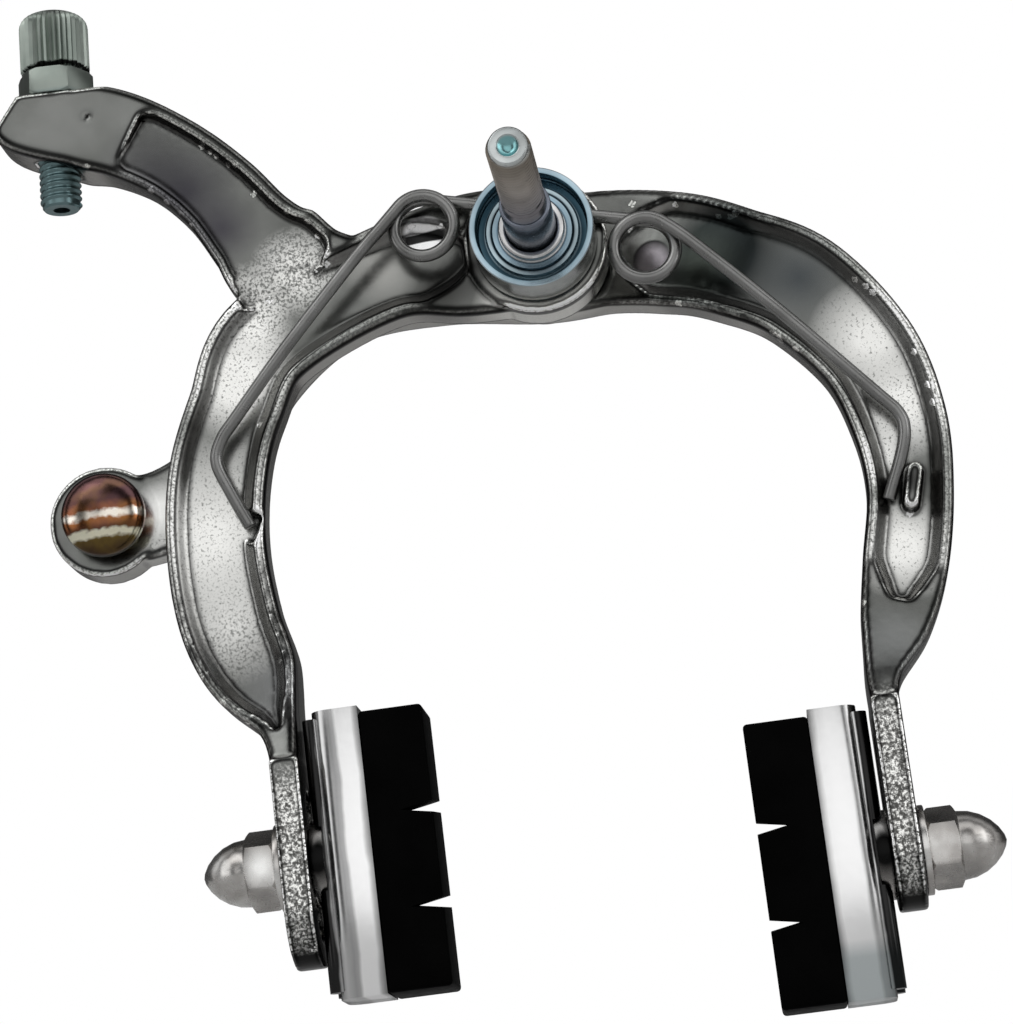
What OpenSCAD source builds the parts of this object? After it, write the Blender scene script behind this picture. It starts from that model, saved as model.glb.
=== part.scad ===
// Single-pivot side-pull caliper brake, long reach, seen from its frame side.
// Two forged arms turn on one bolt. The Y arm carries the left pad and the cable adjuster,
// the C arm carries the right pad and the cable anchor.
// Millimetres. The origin is on the pivot axis, midway between the two arms' hubs.
// +X is to the right seen from the frame side, +Z is up and -Y points to the frame.

/* [Pivot] */
// Diameter of the pivot bolt
bolt_d = 6; // [5:0.5:7]
// Free length of the bolt behind the seat, for the frame or fork
bolt_reach = 32.4; // [24:0.2:45]
// Radial clearance of each running bore
run_gap = 0.05; // [0.02:0.01:0.12]
// Diameter of the Y arm's hub
hub_d = 20; // [18:0.5:21]
// Diameter of the C arm's hub
bow_hub_d = 15.4; // [13:0.2:16.4]
// Thickness of each arm's hub
hub_t = 6.6; // [5.6:0.2:8]
// Thickness of each thin pivot washer
pivot_washer_t = 0.8; // [0.5:0.1:1.2]

/* [Arms] */
// How far an arm's faces stand back from its hub's faces
arm_relief = 0.35; // [0.2:0.05:0.5]
// Radius of an arm's rounded edges
edge_r = 1; // [0.5:0.1:1.4]
// Width of the raised rims round the web
rim_w = 1.8; // [1.4:0.1:2.4]
// Depth of the web below the rims
web_depth = 1.6; // [0.8:0.1:2]

/* [Pad lugs] */
// Width of a lug, front to rear
lug_w = 14.5; // [13.5:0.5:17]
// Thickness of a lug
lug_t = 4; // [3:0.25:5]
// Travel of the pad stud in its slot
slot_travel = 14; // [8:1:15]
// Clearance of the slot on each side of the stud
slot_gap = 0.2; // [0.1:0.05:0.4]
// Wall under the slot
slot_wall = 3.6; // [3:0.2:5]

/* [Pads] */
// Length of a brake pad
pad_len = 38.8; // [32:0.4:44]
// Height of a brake pad, front to rear
pad_h = 10.5; // [9:0.5:13]
// Depth of the pad holder's channel
holder_d = 6.5; // [5:0.2:8]
// Sheet thickness of the pad holder
holder_t = 1; // [0.8:0.1:1.4]
// How far the rubber stands out of the holder
rubber_out = 8.7; // [6:0.2:10]
// Depth of the water notches in the rubber
notch_depth = 4.2; // [2:0.2:5]
// Distance between the two water notches
notch_pitch = 13; // [9:0.5:15]
// Diameter of a pad stud
stud_d = 6; // [5:0.5:6.5]
// Thickness of the spacer between a lug and its holder
spacer_t = 1.9; // [1.5:0.1:3]

/* [Nuts] */
// Width across flats of the cap nuts
nut_af = 9.6; // [9:0.2:12]
// Height of a cap nut's hexagon
nut_hex_t = 4.2; // [3.6:0.2:6.5]
// Height of a cap nut's dome
nut_dome_t = 6.2; // [5:0.2:7]
// Thickness of a plain washer
washer_t = 1; // [0.8:0.1:1.4]

/* [Return spring] */
// Diameter of the spring wire
wire_d = 1.8; // [1.6:0.1:2]
// Mean radius of each coil
coil_r = 4.25; // [4.2:0.05:4.8]
// Distance between the two coils' centres
coil_span = 31; // [29:0.2:32]
// Turn of the spring against the arms, in degrees
spring_tilt = 14.5; // [10:0.5:20]

/* [Spring seat] */
// Diameter of the spring seat
seat_d = 17.2; // [16:0.2:18.5]
// Depth of the spring seat, from its front face to its rim
seat_t = 6.3; // [5.5:0.1:7.5]
// Depth of the seat's cup below its rim
cup_depth = 2.8; // [2:0.1:3.2]
// Diameter of the washer in the seat's cup
seat_washer_d = 13.2; // [12:0.2:14.6]
// Diameter of the bolt's shoulder
shoulder_d = 7; // [6.5:0.1:7.6]
// Length of the bolt's shoulder behind the seat's rim
shoulder_reach = 9.4; // [6:0.2:14]

/* [Cable adjuster] */
// Diameter of the adjuster's thread
adjuster_d = 6; // [5:0.5:7]
// Diameter of the adjuster's knurled cap
cap_d = 10; // [9:0.5:12]
// Height of the adjuster's knurled cap
cap_t = 8.8; // [7:0.2:10]
// Diameter of the socket for the cable housing
socket_d = 5.4; // [4.8:0.1:6]
// Depth of the socket for the cable housing
socket_depth = 6; // [4:0.5:6.5]
// Diameter of the cable's way through the adjuster
cable_way_d = 2.4; // [2:0.1:3]
// How far the thread reaches below the arm's tip
thread_below = 5; // [3:0.5:9]

/* [Cable anchor] */
// Diameter of the anchor's head
anchor_head_d = 11.8; // [11:0.2:13]
// Height of the anchor's domed head
anchor_head_t = 3.6; // [3:0.2:4.5]
// Diameter of the anchor's shank
anchor_d = 5; // [4:0.5:6]
// Diameter of the hole for the inner cable
cable_hole_d = 2; // [1.6:0.1:2.4]

/* [Hidden] */

$fn = 48;
// Side clearance of pieces that are screwed or pushed together
fit = 0.04;
// Overshoot of a cutting tool
over = 1;

// Depths of the two hubs: each has an inner face by the middle washer and an outer face
hub_in = pivot_washer_t / 2;
hub_out = hub_in + hub_t;
// Depth of each arm: its middle plane and half its thickness
arm_y = hub_in + hub_t / 2;
arm_half = hub_t / 2 - arm_relief;
// Rear face of the Y arm's rims, and the floor of its web
rim_y = -arm_y - arm_half;
web_y = rim_y + web_depth;

// Stack on the frame side of the hubs
seat_front = -hub_out - pivot_washer_t;
seat_rear = seat_front - seat_t;
cup_floor = seat_rear + cup_depth;
seat_washer_t = 1.1;
seat_washer_rear = cup_floor - seat_washer_t;
bush_d = 9.2;
bush_rear = seat_rear;
shoulder_rear = seat_rear - shoulder_reach;
bolt_rear = seat_rear - bolt_reach;
// Stack on the front side of the hubs
adjusting_nut_t = 4;
adjusting_nut_y = hub_out + pivot_washer_t;
cap_nut_y = adjusting_nut_y + adjusting_nut_t;
nut_bore_t = nut_hex_t + nut_dome_t - 3.4;
bolt_front = cap_nut_y + nut_bore_t - 0.5;

// Lugs: the middle of each one's thickness, its top, and the stud's place in the slot at rest
left_lug_x = -42.2;
right_lug_x = 38.3;
left_lug_top = -68.4;
right_lug_top = -70.6;
left_slot_low = -89;
right_slot_low = -91.6;
left_stud_z = -81.8;
right_stud_z = -90.6;
slot_w = stud_d + 2 * slot_gap;
lug_loft_in = 0.08;

// Pads: the stud stands a little below the pad's middle, and the notches lower still
pad_offset = 0.5;
notch_offset = -1.3;
notch_mouth = 1.8;
stud_head_d = 8.4;
stud_head_t = 1.2;
pad_washer_d = 12;

// Coils: their centres in the spring's own turned frame lie on its x axis
coil_x = coil_span / 2;
coil_drop = 0.2;
coil_pitch = wire_d + 0.1;
seat_slot_gap = 0.15;
spring_y = seat_front - seat_slot_gap - wire_d / 2;
// Where each leg leaves its coil, as an angle from +X towards +Z
left_leave = 133;
right_leave = 45;
coil_top = 90 - spring_tilt;
spring_sides = 8;
coil_step = 20;

// Adjuster: the middle of the seat on the arm's tip, and its lean from upright
tip_half = 4.8;
adjuster_at = [-66.6, rim_y + tip_half, 33.4];
adjuster_lean = 2.3;
tip_t = 11.5;
locknut_af = 9.6;
locknut_t = 3.9;
locknut_gap = 0.3;
cap_round = 1.8;

// Anchor
anchor_at = [-65.1, -29];
anchor_lug_d = 15.8;
anchor_lug_shift = 0.6;
anchor_neck_d = 8.6;
anchor_neck_t = 2.6;
anchor_washer_d = 10;
anchor_nut_af = 8.5;
anchor_nut_t = 4.5;
anchor_tail = 1;

// Post that the right leg bears on, from its upper to its lower end
post_from = [47, -39.9];
post_to = [45.9, -44.1];
post_r = 1.05;
post_rise = 1.8;

// Arms as stations along their middle lines: x, z, half width, middle depth, half depth.
// The Y arm's lower limb, from the hub to the left lug
limb_path = [
    [2, 0, 8.9, -arm_y, arm_half],
    [-10, 0.1, 8.9, -arm_y, arm_half],
    [-22, -0.9, 7, -arm_y, arm_half],
    [-38.7, -7.6, 7.4, -arm_y, arm_half],
    [-44.6, -17.2, 6.8, -arm_y, arm_half],
    [-48, -26.5, 7, -arm_y, arm_half],
    [-49.2, -37, 7, -arm_y, arm_half],
    [-48.3, -47.5, 7, -arm_y, arm_half],
    [-45.5, -55.8, 6.1, -arm_y, arm_half + 0.9],
    [-42.9, left_lug_top + 5.4, 2.8, -arm_y, lug_w / 2 - 2],
    [left_lug_x, left_lug_top - 0.3, lug_t / 2 - lug_loft_in, -arm_y, lug_w / 2 - lug_loft_in],
    [left_lug_x, left_lug_top - 4.6, lug_t / 2 - lug_loft_in, -arm_y, lug_w / 2 - lug_loft_in]];
// The Y arm's upper limb, from the adjuster's tip to the lower limb
horn_path = [
    [-73.2, 31.3, 3.4, rim_y + 3.8, 3.8],
    [-71.6, 30.2, 4.7, rim_y + 4.4, 4.4],
    [-67.5, 28.6, 5.2, rim_y + tip_half, tip_half],
    [-62, 27.6, 6.3, rim_y + tip_half, tip_half],
    [-56.2, 25.2, 6.3, rim_y + 3.8, 3.8],
    [-49.3, 20.4, 6.1, -arm_y - 0.05, arm_half],
    [-43.7, 14.5, 6.3, -arm_y - 0.05, arm_half],
    [-39.6, 8.3, 6.9, -arm_y - 0.05, arm_half],
    [-36.3, 4, 8.2, -arm_y - 0.05, arm_half],
    [-31, 0.3, 7.2, -arm_y - 0.05, arm_half],
    [-24, -1.8, 6, -arm_y - 0.05, arm_half]];
// The C arm, from the anchor's lug past the hub to the right lug
bow_path = [
    [anchor_at[0] - 1, anchor_at[1], 4.5, arm_y, arm_half],
    [-57, -28.4, 5.3, arm_y, arm_half],
    [-48.5, -22.5, 5.2, arm_y, arm_half],
    [-41, -10.8, 5, arm_y, arm_half],
    [-29, -2.4, 5, arm_y, arm_half],
    [-15, 0.3, 6.5, arm_y, arm_half],
    [0, 0.5, 8.6, arm_y, arm_half],
    [10, 0.4, 8.6, arm_y - 0.4, arm_half],
    [19.5, -2.4, 8.5, 0, arm_half],
    [27, -6.3, 8, -arm_y + 0.7, arm_half],
    [35.3, -11.4, 7.9, -arm_y, arm_half],
    [43, -21.5, 7.2, -arm_y, arm_half],
    [46, -32, 6.6, -arm_y, arm_half],
    [46.1, -42, 5.9, -arm_y, arm_half],
    [44, -52, 5.8, -arm_y, arm_half],
    [41.5, -60, 4.8, -arm_y, arm_half + 1.2],
    [38.9, right_lug_top + 4.1, 2.6, -arm_y, lug_w / 2 - 1.6],
    [right_lug_x, right_lug_top - 0.3, lug_t / 2 - lug_loft_in, -arm_y, lug_w / 2 - lug_loft_in],
    [right_lug_x, right_lug_top - 4.4, lug_t / 2 - lug_loft_in, -arm_y, lug_w / 2 - lug_loft_in]];

// Left leg of the spring from its tip to the coil, and right leg from the coil to its tip
left_leg = [
    [-44, rim_y + 0.3, -34.6],
    [-46.2, rim_y - 0.3, -29.4],
    [-47.6, rim_y - 0.9, -25.2],
    [-46.6, rim_y - 1.3, -22.2],
    [-44.2, rim_y - 1.7, -19.4],
    [-36.2, rim_y - 2.6, -10.7],
    [-25.6, rim_y - 3.6, -0.1],
    [-20.6, rim_y - 4.1, 4.4]];
right_leg = [
    [21.4, rim_y - 4.1, -4.3],
    [31.7, rim_y - 3, -15.3],
    [43.5, rim_y - 1.6, -28.8],
    [46, rim_y - 1.3, -31.9],
    [46.4, rim_y - 1.1, -34.4],
    [45.5, rim_y - 0.6, -37.6],
    [43, rim_y + 0.1, -43.3]];

function last(list) = list[len(list) - 1];

// Smooth curve through the points of a list, n steps a span
function curve_at(a, b, c, d, t) =
    (2 * b + (c - a) * t + (2 * a - 5 * b + 4 * c - d) * t * t
        + (3 * b - a - 3 * c + d) * t * t * t) / 2;
function smooth(path, n) = concat(
    [for (i = [0 : len(path) - 2], k = [0 : n - 1])
        curve_at(path[max(i - 1, 0)], path[i], path[i + 1], path[min(i + 2, len(path) - 1)], k / n)],
    [last(path)]);

// Direction of a path at point i, and the unit length of a vector
function unit(v) = v / norm(v);
function along(path, i) = unit(path[min(i + 1, len(path) - 1)] - path[max(i - 1, 0)]);

// Rounded rectangle as a ring of points across (u) and in depth (v)
function rounded(hw, hd, r) = [for (q = [0 : 3], k = [0 : 2])
    let (a = 90 * q + 45 * k,
        u = (q == 0 || q == 3 ? 1 : -1) * (hw - r),
        v = (q < 2 ? 1 : -1) * (hd - r))
    [u + r * cos(a), v + r * sin(a)]];

// Puts a ring of [u, v] points across station i of an arm's path
function across(path, i, ring) =
    let (s = path[i],
        d = along([for (p = path) [p[0], p[1]]], i))
    [for (p = ring) [s[0] + p[0] * d[1], s[3] + p[1], s[1] - p[0] * d[0]]];

// Closed body through a list of rings with equal numbers of points
module skin(rings) {
    m = len(rings[0]);
    n = len(rings);
    sides = [for (i = [0 : n - 2], j = [0 : m - 1])
        let (a = i * m + j, b = i * m + (j + 1) % m)
        each [[a, a + m, b + m], [a, b + m, b]]];
    near = [for (j = [0 : m - 1]) j];
    far = [for (j = [m - 1 : -1 : 0]) (n - 1) * m + j];
    polyhedron([for (r = rings) each r], concat(sides, [near, far]));
}

// Forged limb along a path, its edges rounded
module limb(path, n) {
    p = smooth(path, n);
    skin([for (i = [0 : len(p) - 1])
        across(p, i, rounded(p[i][2], p[i][4], min(edge_r, p[i][2] - 0.4)))]);
}

// Web sunk into a limb's rear face between the stations from and to.
// plus and minus are the rims' widths on the two sides, and shallow is the floor's rise at minus
module web(path, n, from, to, plus, minus, shallow) {
    p = smooth(path, n);
    floor_in = 0.7;
    skin([for (i = [from * n : to * n])
        let (e = min(i - from * n, to * n - i) / n,
            k = sqrt(min(1, 0.15 + e)),
            top = (p[i][2] - plus) * k,
            low = -(p[i][2] - minus) * k,
            rear = -p[i][4])
        across(p, i, [
            [top, rear - over],
            [top, rear],
            [top - floor_in, rear + web_depth],
            [low + floor_in, rear + web_depth - shallow],
            [low, rear],
            [low, rear - over]])]);
}

// Cylinder along Y between two depths
module rod_y(d, y1, y2) {
    translate([0, y1, 0]) rotate([-90, 0, 0]) cylinder(d = d, h = y2 - y1);
}

// Ring along Y
module ring_y(d, bore, y1, y2) {
    difference() {
        rod_y(d, y1, y2);
        rod_y(bore, y1 - over, y2 + over);
    }
}

// Slotted lug plate, its thickness along X, its low end round
module lug(x, z_top, slot_low) {
    z_low = slot_low - slot_w / 2 - slot_wall;
    translate([x - lug_t / 2, -arm_y, 0]) rotate([90, 0, 90]) linear_extrude(lug_t) difference() {
        union() {
            translate([0, z_low + lug_w / 2]) circle(d = lug_w);
            translate([-lug_w / 2, z_low + lug_w / 2]) square([lug_w, z_top - z_low - lug_w / 2]);
        }
        translate([0, slot_low]) circle(d = slot_w);
        translate([0, slot_low + slot_travel]) circle(d = slot_w);
        translate([-slot_w / 2, slot_low]) square([slot_w, slot_travel]);
    }
}

// The slot alone, cut through the limb's end as well
module slot_cut(x, slot_low) {
    translate([x - lug_w, -arm_y, 0]) rotate([90, 0, 90]) linear_extrude(2 * lug_w) union() {
        translate([0, slot_low]) circle(d = slot_w);
        translate([0, slot_low + slot_travel]) circle(d = slot_w);
        translate([-slot_w / 2, slot_low]) square([slot_w, slot_travel]);
    }
}

// Hexagonal nut along +Z, its corners turned off at both ends
module hex_nut(af, t, bore) {
    chamfer = 0.5;
    corner = af / sqrt(3);
    difference() {
        intersection() {
            cylinder(r = corner, h = t, $fn = 6);
            rotate_extrude() polygon([[0, 0], [corner - chamfer, 0], [corner, chamfer],
                [corner, t - chamfer], [corner - chamfer, t], [0, t]]);
        }
        translate([0, 0, -over]) cylinder(d = bore, h = t + 2 * over);
    }
}

// Cap nut along +Z: a hexagon with a dome that comes to a blunt point, blind bore from below
module cap_nut(bore) {
    point = 1.3;
    chamfer = 0.5;
    corner = nut_af / sqrt(3);
    dome_r = nut_af / 2 - 0.2;
    difference() {
        intersection() {
            cylinder(r = corner, h = nut_hex_t + nut_dome_t, $fn = 6);
            rotate_extrude() polygon(concat(
                [[0, 0], [corner - chamfer, 0], [corner, chamfer], [corner, nut_hex_t - chamfer]],
                [for (a = [0 : 15 : 90]) [dome_r * pow(cos(a), point), nut_hex_t + nut_dome_t * sin(a)]]));
        }
        translate([0, 0, -over]) cylinder(d = bore, h = nut_bore_t + over);
    }
}

// Pivot bolt: its shoulder bears on the seat's washer, and its rear end is centre-drilled
module centre_bolt() {
    chamfer = 0.8;
    centre_r = 1.5;
    centre_depth = 2;
    r = bolt_d / 2;
    z1 = shoulder_rear - bolt_rear;
    z2 = seat_washer_rear - bolt_rear;
    z3 = bolt_front - bolt_rear;
    color("silver") translate([0, bolt_rear, 0]) rotate([-90, 0, 0]) rotate_extrude() polygon([
        [0, centre_depth], [centre_r, 0], [r - chamfer / 2, 0], [r, chamfer / 2],
        [r, z1], [shoulder_d / 2 - 0.2, z1], [shoulder_d / 2, z1 + 0.2], [shoulder_d / 2, z2], [r, z2],
        [r, z3 - chamfer], [r - chamfer, z3], [0, z3]]);
}

// Round spring seat: a cup towards the frame, and a slot across its front face that takes the
// spring's straight middle
module spring_seat() {
    rim_t = 0.8;
    chamfer = 0.15;
    slot_half = wire_d / 2 + seat_slot_gap;
    r = seat_d / 2;
    bore_r = bolt_d / 2 + fit;
    color("lightsteelblue") difference() {
        translate([0, seat_rear, 0]) rotate([-90, 0, 0]) rotate_extrude() polygon([
            [bore_r, cup_depth], [r - rim_t - 0.3, cup_depth], [r - rim_t, cup_depth - 0.3], [r - rim_t, 0],
            [r - chamfer, 0], [r, chamfer], [r, seat_t], [bore_r, seat_t]]);
        rotate([0, spring_tilt, 0]) translate([-seat_d, seat_front - 2 * slot_half, coil_r - coil_drop - slot_half])
            cube([2 * seat_d, 2 * slot_half + over, 2 * slot_half]);
    }
}

// Washer in the seat's cup, its rear face stepped
module seat_washer() {
    step_r = 5.5;
    step_t = 0.3;
    r = seat_washer_d / 2;
    bore_r = bolt_d / 2 + fit;
    color("lightsteelblue") translate([0, seat_washer_rear, 0]) rotate([-90, 0, 0]) rotate_extrude()
        polygon([[bore_r, 0], [step_r, 0], [step_r + step_t, step_t], [r - 0.25, step_t],
            [r, step_t + 0.25], [r, seat_washer_t], [bore_r, seat_washer_t]]);
}

// Short bush round the bolt's shoulder with a countersunk mouth
module seat_bush() {
    mouth = 0.6;
    edge = 0.25;
    bore_r = shoulder_d / 2 + fit;
    r = bush_d / 2;
    h = seat_washer_rear - bush_rear;
    color("silver") translate([0, bush_rear, 0]) rotate([-90, 0, 0]) rotate_extrude() polygon([
        [bore_r + mouth, 0], [r - edge, 0], [r, edge], [r, h], [bore_r, h], [bore_r, mouth]]);
}

// Centre line of the spring wire from the left tip to the right tip
function coil_centre(side) = [
    side * coil_x * cos(spring_tilt) - coil_drop * sin(spring_tilt),
    -side * coil_x * sin(spring_tilt) - coil_drop * cos(spring_tilt)];
function coil_point(side, a, y) =
    [coil_centre(side)[0] + coil_r * cos(a), y, coil_centre(side)[1] + coil_r * sin(a)];
// The left coil runs clockwise from its leg, and the right coil clockwise to its leg
left_sweep = 360 + left_leave - coil_top;
right_sweep = 360 + coil_top - right_leave;
function left_coil(n) = [for (k = [0 : n])
    let (s = left_sweep * k / n)
    coil_point(-1, left_leave - s, spring_y - coil_pitch * (left_sweep - s) / 360)];
function right_coil(n) = [for (k = [0 : n])
    let (s = right_sweep * k / n)
    coil_point(1, coil_top - s, spring_y - coil_pitch * s / 360)];
function spring_line() =
    let (left = left_coil(ceil(left_sweep / coil_step)),
        right = right_coil(ceil(right_sweep / coil_step)),
        in_leg = smooth(concat(left_leg, [left[0]]), 3),
        out_leg = smooth(concat([last(right)], right_leg), 3))
    concat([for (i = [0 : len(in_leg) - 2]) in_leg[i]], left, right,
        [for (i = [1 : len(out_leg) - 1]) out_leg[i]]);

// Return spring: one wire, a coil on each side of the bolt, a leg to each arm
module return_spring() {
    line = spring_line();
    color("dimgray") skin([for (i = [0 : len(line) - 1])
        let (t = along(line, i),
            u = unit(cross(t, [0, 1, 0])),
            v = cross(t, u))
        [for (k = [0 : spring_sides - 1])
            let (a = -360 * k / spring_sides)
            line[i] + wire_d / 2 * (u * cos(a) - v * sin(a))]]);
}

module pivot_washer(y) {
    color("gainsboro") ring_y(bow_hub_d - 0.4, bolt_d + 2 * fit, y, y + pivot_washer_t);
}
module rear_washer() pivot_washer(-hub_out - pivot_washer_t);
module middle_washer() pivot_washer(-hub_in);
module front_washer() pivot_washer(hub_out);

// Nut that sets the arms' play
module adjusting_nut() {
    color("silver") translate([0, adjusting_nut_y, 0]) rotate([-90, 0, 0])
        hex_nut(nut_af, adjusting_nut_t, bolt_d + 2 * fit);
}

// Cap nut that locks the adjusting nut
module front_cap_nut() {
    color("silver") translate([0, cap_nut_y, 0]) rotate([-90, 0, 0]) cap_nut(bolt_d + 2 * fit);
}

// Places its children on the adjuster's axis, +Z up through the cap, 0 on the tip's seat
module at_adjuster() {
    translate(adjuster_at) rotate([0, adjuster_lean, 0]) children();
}

// Y arm: hub, lower limb with the left lug, upper limb with the adjuster's tip
module y_arm() {
    tip_cut = 20;
    notch_w = wire_d + 0.5;
    color("silver") difference() {
        union() {
            difference() {
                union() {
                    limb(limb_path, 3);
                    limb(horn_path, 3);
                }
                web(limb_path, 2, 1, 8.5, rim_w, rim_w, 0);
                web(horn_path, 3, 4, 9, 0.9, rim_w, 0);
            }
            rod_y(hub_d, -hub_out, -hub_in);
            lug(left_lug_x, left_lug_top, left_slot_low);
        }
        rod_y(bolt_d + 2 * run_gap, -hub_out - over, over);
        slot_cut(left_lug_x, left_slot_low);
        at_adjuster() translate([-tip_cut / 2, -tip_cut / 2, 0]) cube([tip_cut, tip_cut, tip_cut / 2]);
        at_adjuster() translate([0, 0, -tip_cut]) cylinder(d = adjuster_d + 2 * run_gap, h = 2 * tip_cut);
        translate([left_leg[0][0], 0, left_leg[0][2]]) rotate([0, 24, 0])
            translate([-notch_w / 2, rim_y - over, -2]) cube([notch_w, web_depth + over, 4]);
    }
}

// Lock nut of the adjuster, on the tip's seat
module adjuster_locknut() {
    color("lightgray") at_adjuster() hex_nut(locknut_af, locknut_t, adjuster_d + 2 * run_gap);
}

// Adjuster: hollow thread and knurled cap with the housing's socket
module adjuster_barrel() {
    grooves = 24;
    groove_d = 0.7;
    z1 = -tip_t - thread_below;
    z2 = locknut_t + locknut_gap;
    z3 = z2 + cap_t;
    color("gray") at_adjuster() difference() {
        union() {
            translate([0, 0, z1]) cylinder(d = adjuster_d, h = z2 - z1 + 0.5);
            rotate_extrude() polygon(concat(
                [[0, z2], [cap_d / 2 - 0.5, z2], [cap_d / 2, z2 + 0.5]],
                [for (a = [0 : 22.5 : 90])
                    [cap_d / 2 - cap_round + cap_round * cos(a), z3 - cap_round + cap_round * sin(a)]],
                [[0, z3]]));
        }
        for (i = [0 : grooves - 1]) rotate(i * 360 / grooves)
            translate([cap_d / 2, 0, z2 - over]) cylinder(d = groove_d, h = cap_t + 2 * over, $fn = 4);
        translate([0, 0, z3 - socket_depth]) cylinder(d = socket_d, h = socket_depth + over);
        translate([0, 0, z1 - over]) cylinder(d = cable_way_d, h = z3 - z1);
    }
}

// C arm: anchor's lug, hub, bow round the tyre and the right lug
module c_arm() {
    post_l = norm(post_to - post_from);
    post_a = atan2(post_to[1] - post_from[1], post_to[0] - post_from[0]);
    color("silver") difference() {
        union() {
            difference() {
                limb(bow_path, 3);
                web(bow_path, 2, 8.5, 14.5, rim_w, rim_w, 0);
            }
            rod_y(bow_hub_d, hub_in, hub_out);
            translate([anchor_at[0] - anchor_lug_shift, 0, anchor_at[1]])
                rod_y(anchor_lug_d, arm_y - arm_half - 0.1, arm_y + arm_half + 0.1);
            lug(right_lug_x, right_lug_top, right_slot_low);
            translate([post_from[0], web_y + 0.3, post_from[1]]) rotate([90, -post_a, 0])
                linear_extrude(web_depth + post_rise) union() {
                    circle(r = post_r);
                    translate([post_l, 0]) circle(r = post_r);
                    translate([0, -post_r]) square([post_l, 2 * post_r]);
                }
        }
        rod_y(bolt_d + 2 * run_gap, -over, hub_out + over);
        slot_cut(right_lug_x, right_slot_low);
        translate([anchor_at[0], 0, anchor_at[1]]) rod_y(anchor_d + 2 * run_gap, 0, hub_out + over);
    }
}

// Depth of the anchor lug's rear and front faces
anchor_rear = arm_y - arm_half - 0.1;
anchor_front = arm_y + arm_half + 0.1;

// Places its children on the anchor's axis
module at_anchor() {
    translate([anchor_at[0], 0, anchor_at[1]]) children();
}

// Anchor bolt: domed head, neck with the cable's hole, shank through the lug
module anchor_bolt() {
    head_y = anchor_rear - anchor_neck_t;
    tail_y = anchor_front + washer_t + anchor_nut_t + anchor_tail;
    rim_t = 1.2;
    r = anchor_head_d / 2;
    color("peru") at_anchor() difference() {
        translate([0, head_y, 0]) rotate([-90, 0, 0]) rotate_extrude() polygon(concat(
            [for (a = [90 : -15 : 0]) [r * cos(a), -rim_t - (anchor_head_t - rim_t) * sin(a)]],
            [[r, 0], [anchor_neck_d / 2, 0], [anchor_neck_d / 2, anchor_neck_t],
            [anchor_d / 2, anchor_neck_t], [anchor_d / 2, tail_y - head_y], [0, tail_y - head_y]]));
        translate([0, anchor_rear - anchor_neck_t / 2, -anchor_head_d])
            cylinder(d = cable_hole_d, h = 2 * anchor_head_d);
    }
}

module anchor_washer() {
    color("gainsboro") at_anchor()
        ring_y(anchor_washer_d, anchor_d + 2 * fit, anchor_front, anchor_front + washer_t);
}

module anchor_nut() {
    color("silver") at_anchor() translate([0, anchor_front + washer_t, 0]) rotate([-90, 0, 0])
        hex_nut(anchor_nut_af, anchor_nut_t, anchor_d + 2 * fit);
}

// Places its children, drawn for the right side, on one side's stud.
// There +X points outwards and 0 is the lug's inner face
module on_stud(side) {
    x = side < 0 ? left_lug_x : right_lug_x;
    z = side < 0 ? left_stud_z : right_stud_z;
    translate([x - side * lug_t / 2, -arm_y, z]) mirror([side < 0 ? 1 : 0, 0, 0]) children();
}

// Outline of the holder's channel from above, its back edges rounded; grown by d
module channel_outline(d) {
    round_r = 2.2;
    hy = pad_h / 2 - d;
    back = -spacer_t - d;
    r = round_r - d;
    polygon(concat(
        [[-spacer_t - holder_d - (d > 0 ? over : 0), -hy]],
        [for (a = [-90 : 22.5 : 0]) [back - r + r * cos(a), -hy + r + r * sin(a)]],
        [for (a = [0 : 22.5 : 90]) [back - r + r * cos(a), hy - r + r * sin(a)]],
        [[-spacer_t - holder_d - (d > 0 ? over : 0), hy]]));
}

// Rolled lips along the holder's back, one by each long edge, open where the spacer lies
module holder_lips() {
    lip_d = 2.4;
    lip_rise = 1.3;
    lip_y = pad_h / 2 - 1.6;
    lip_end = 1;
    difference() {
        for (s = [-1, 1]) translate([lip_rise - lip_d / 2 - spacer_t, s * lip_y, pad_offset - pad_len / 2 + lip_end])
            cylinder(d = lip_d, h = pad_len - 2 * lip_end, $fn = 32);
        rotate([0, -90, 0]) cylinder(d = pad_washer_d + 1, h = spacer_t);
    }
}

// Pressed holder: a channel with closed ends, lips on its back and a hole for the stud
module pad_holder(side) {
    color("lightgray") on_stud(side) difference() {
        union() {
            translate([0, 0, pad_offset - pad_len / 2]) linear_extrude(pad_len) channel_outline(0);
            holder_lips();
        }
        translate([0, 0, pad_offset - pad_len / 2 + holder_t])
            linear_extrude(pad_len - 2 * holder_t) channel_outline(holder_t);
        rotate([0, -90, 0]) translate([0, 0, -over])
            cylinder(d = stud_d + 2 * fit, h = spacer_t + holder_t + 3 * over);
    }
}

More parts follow.
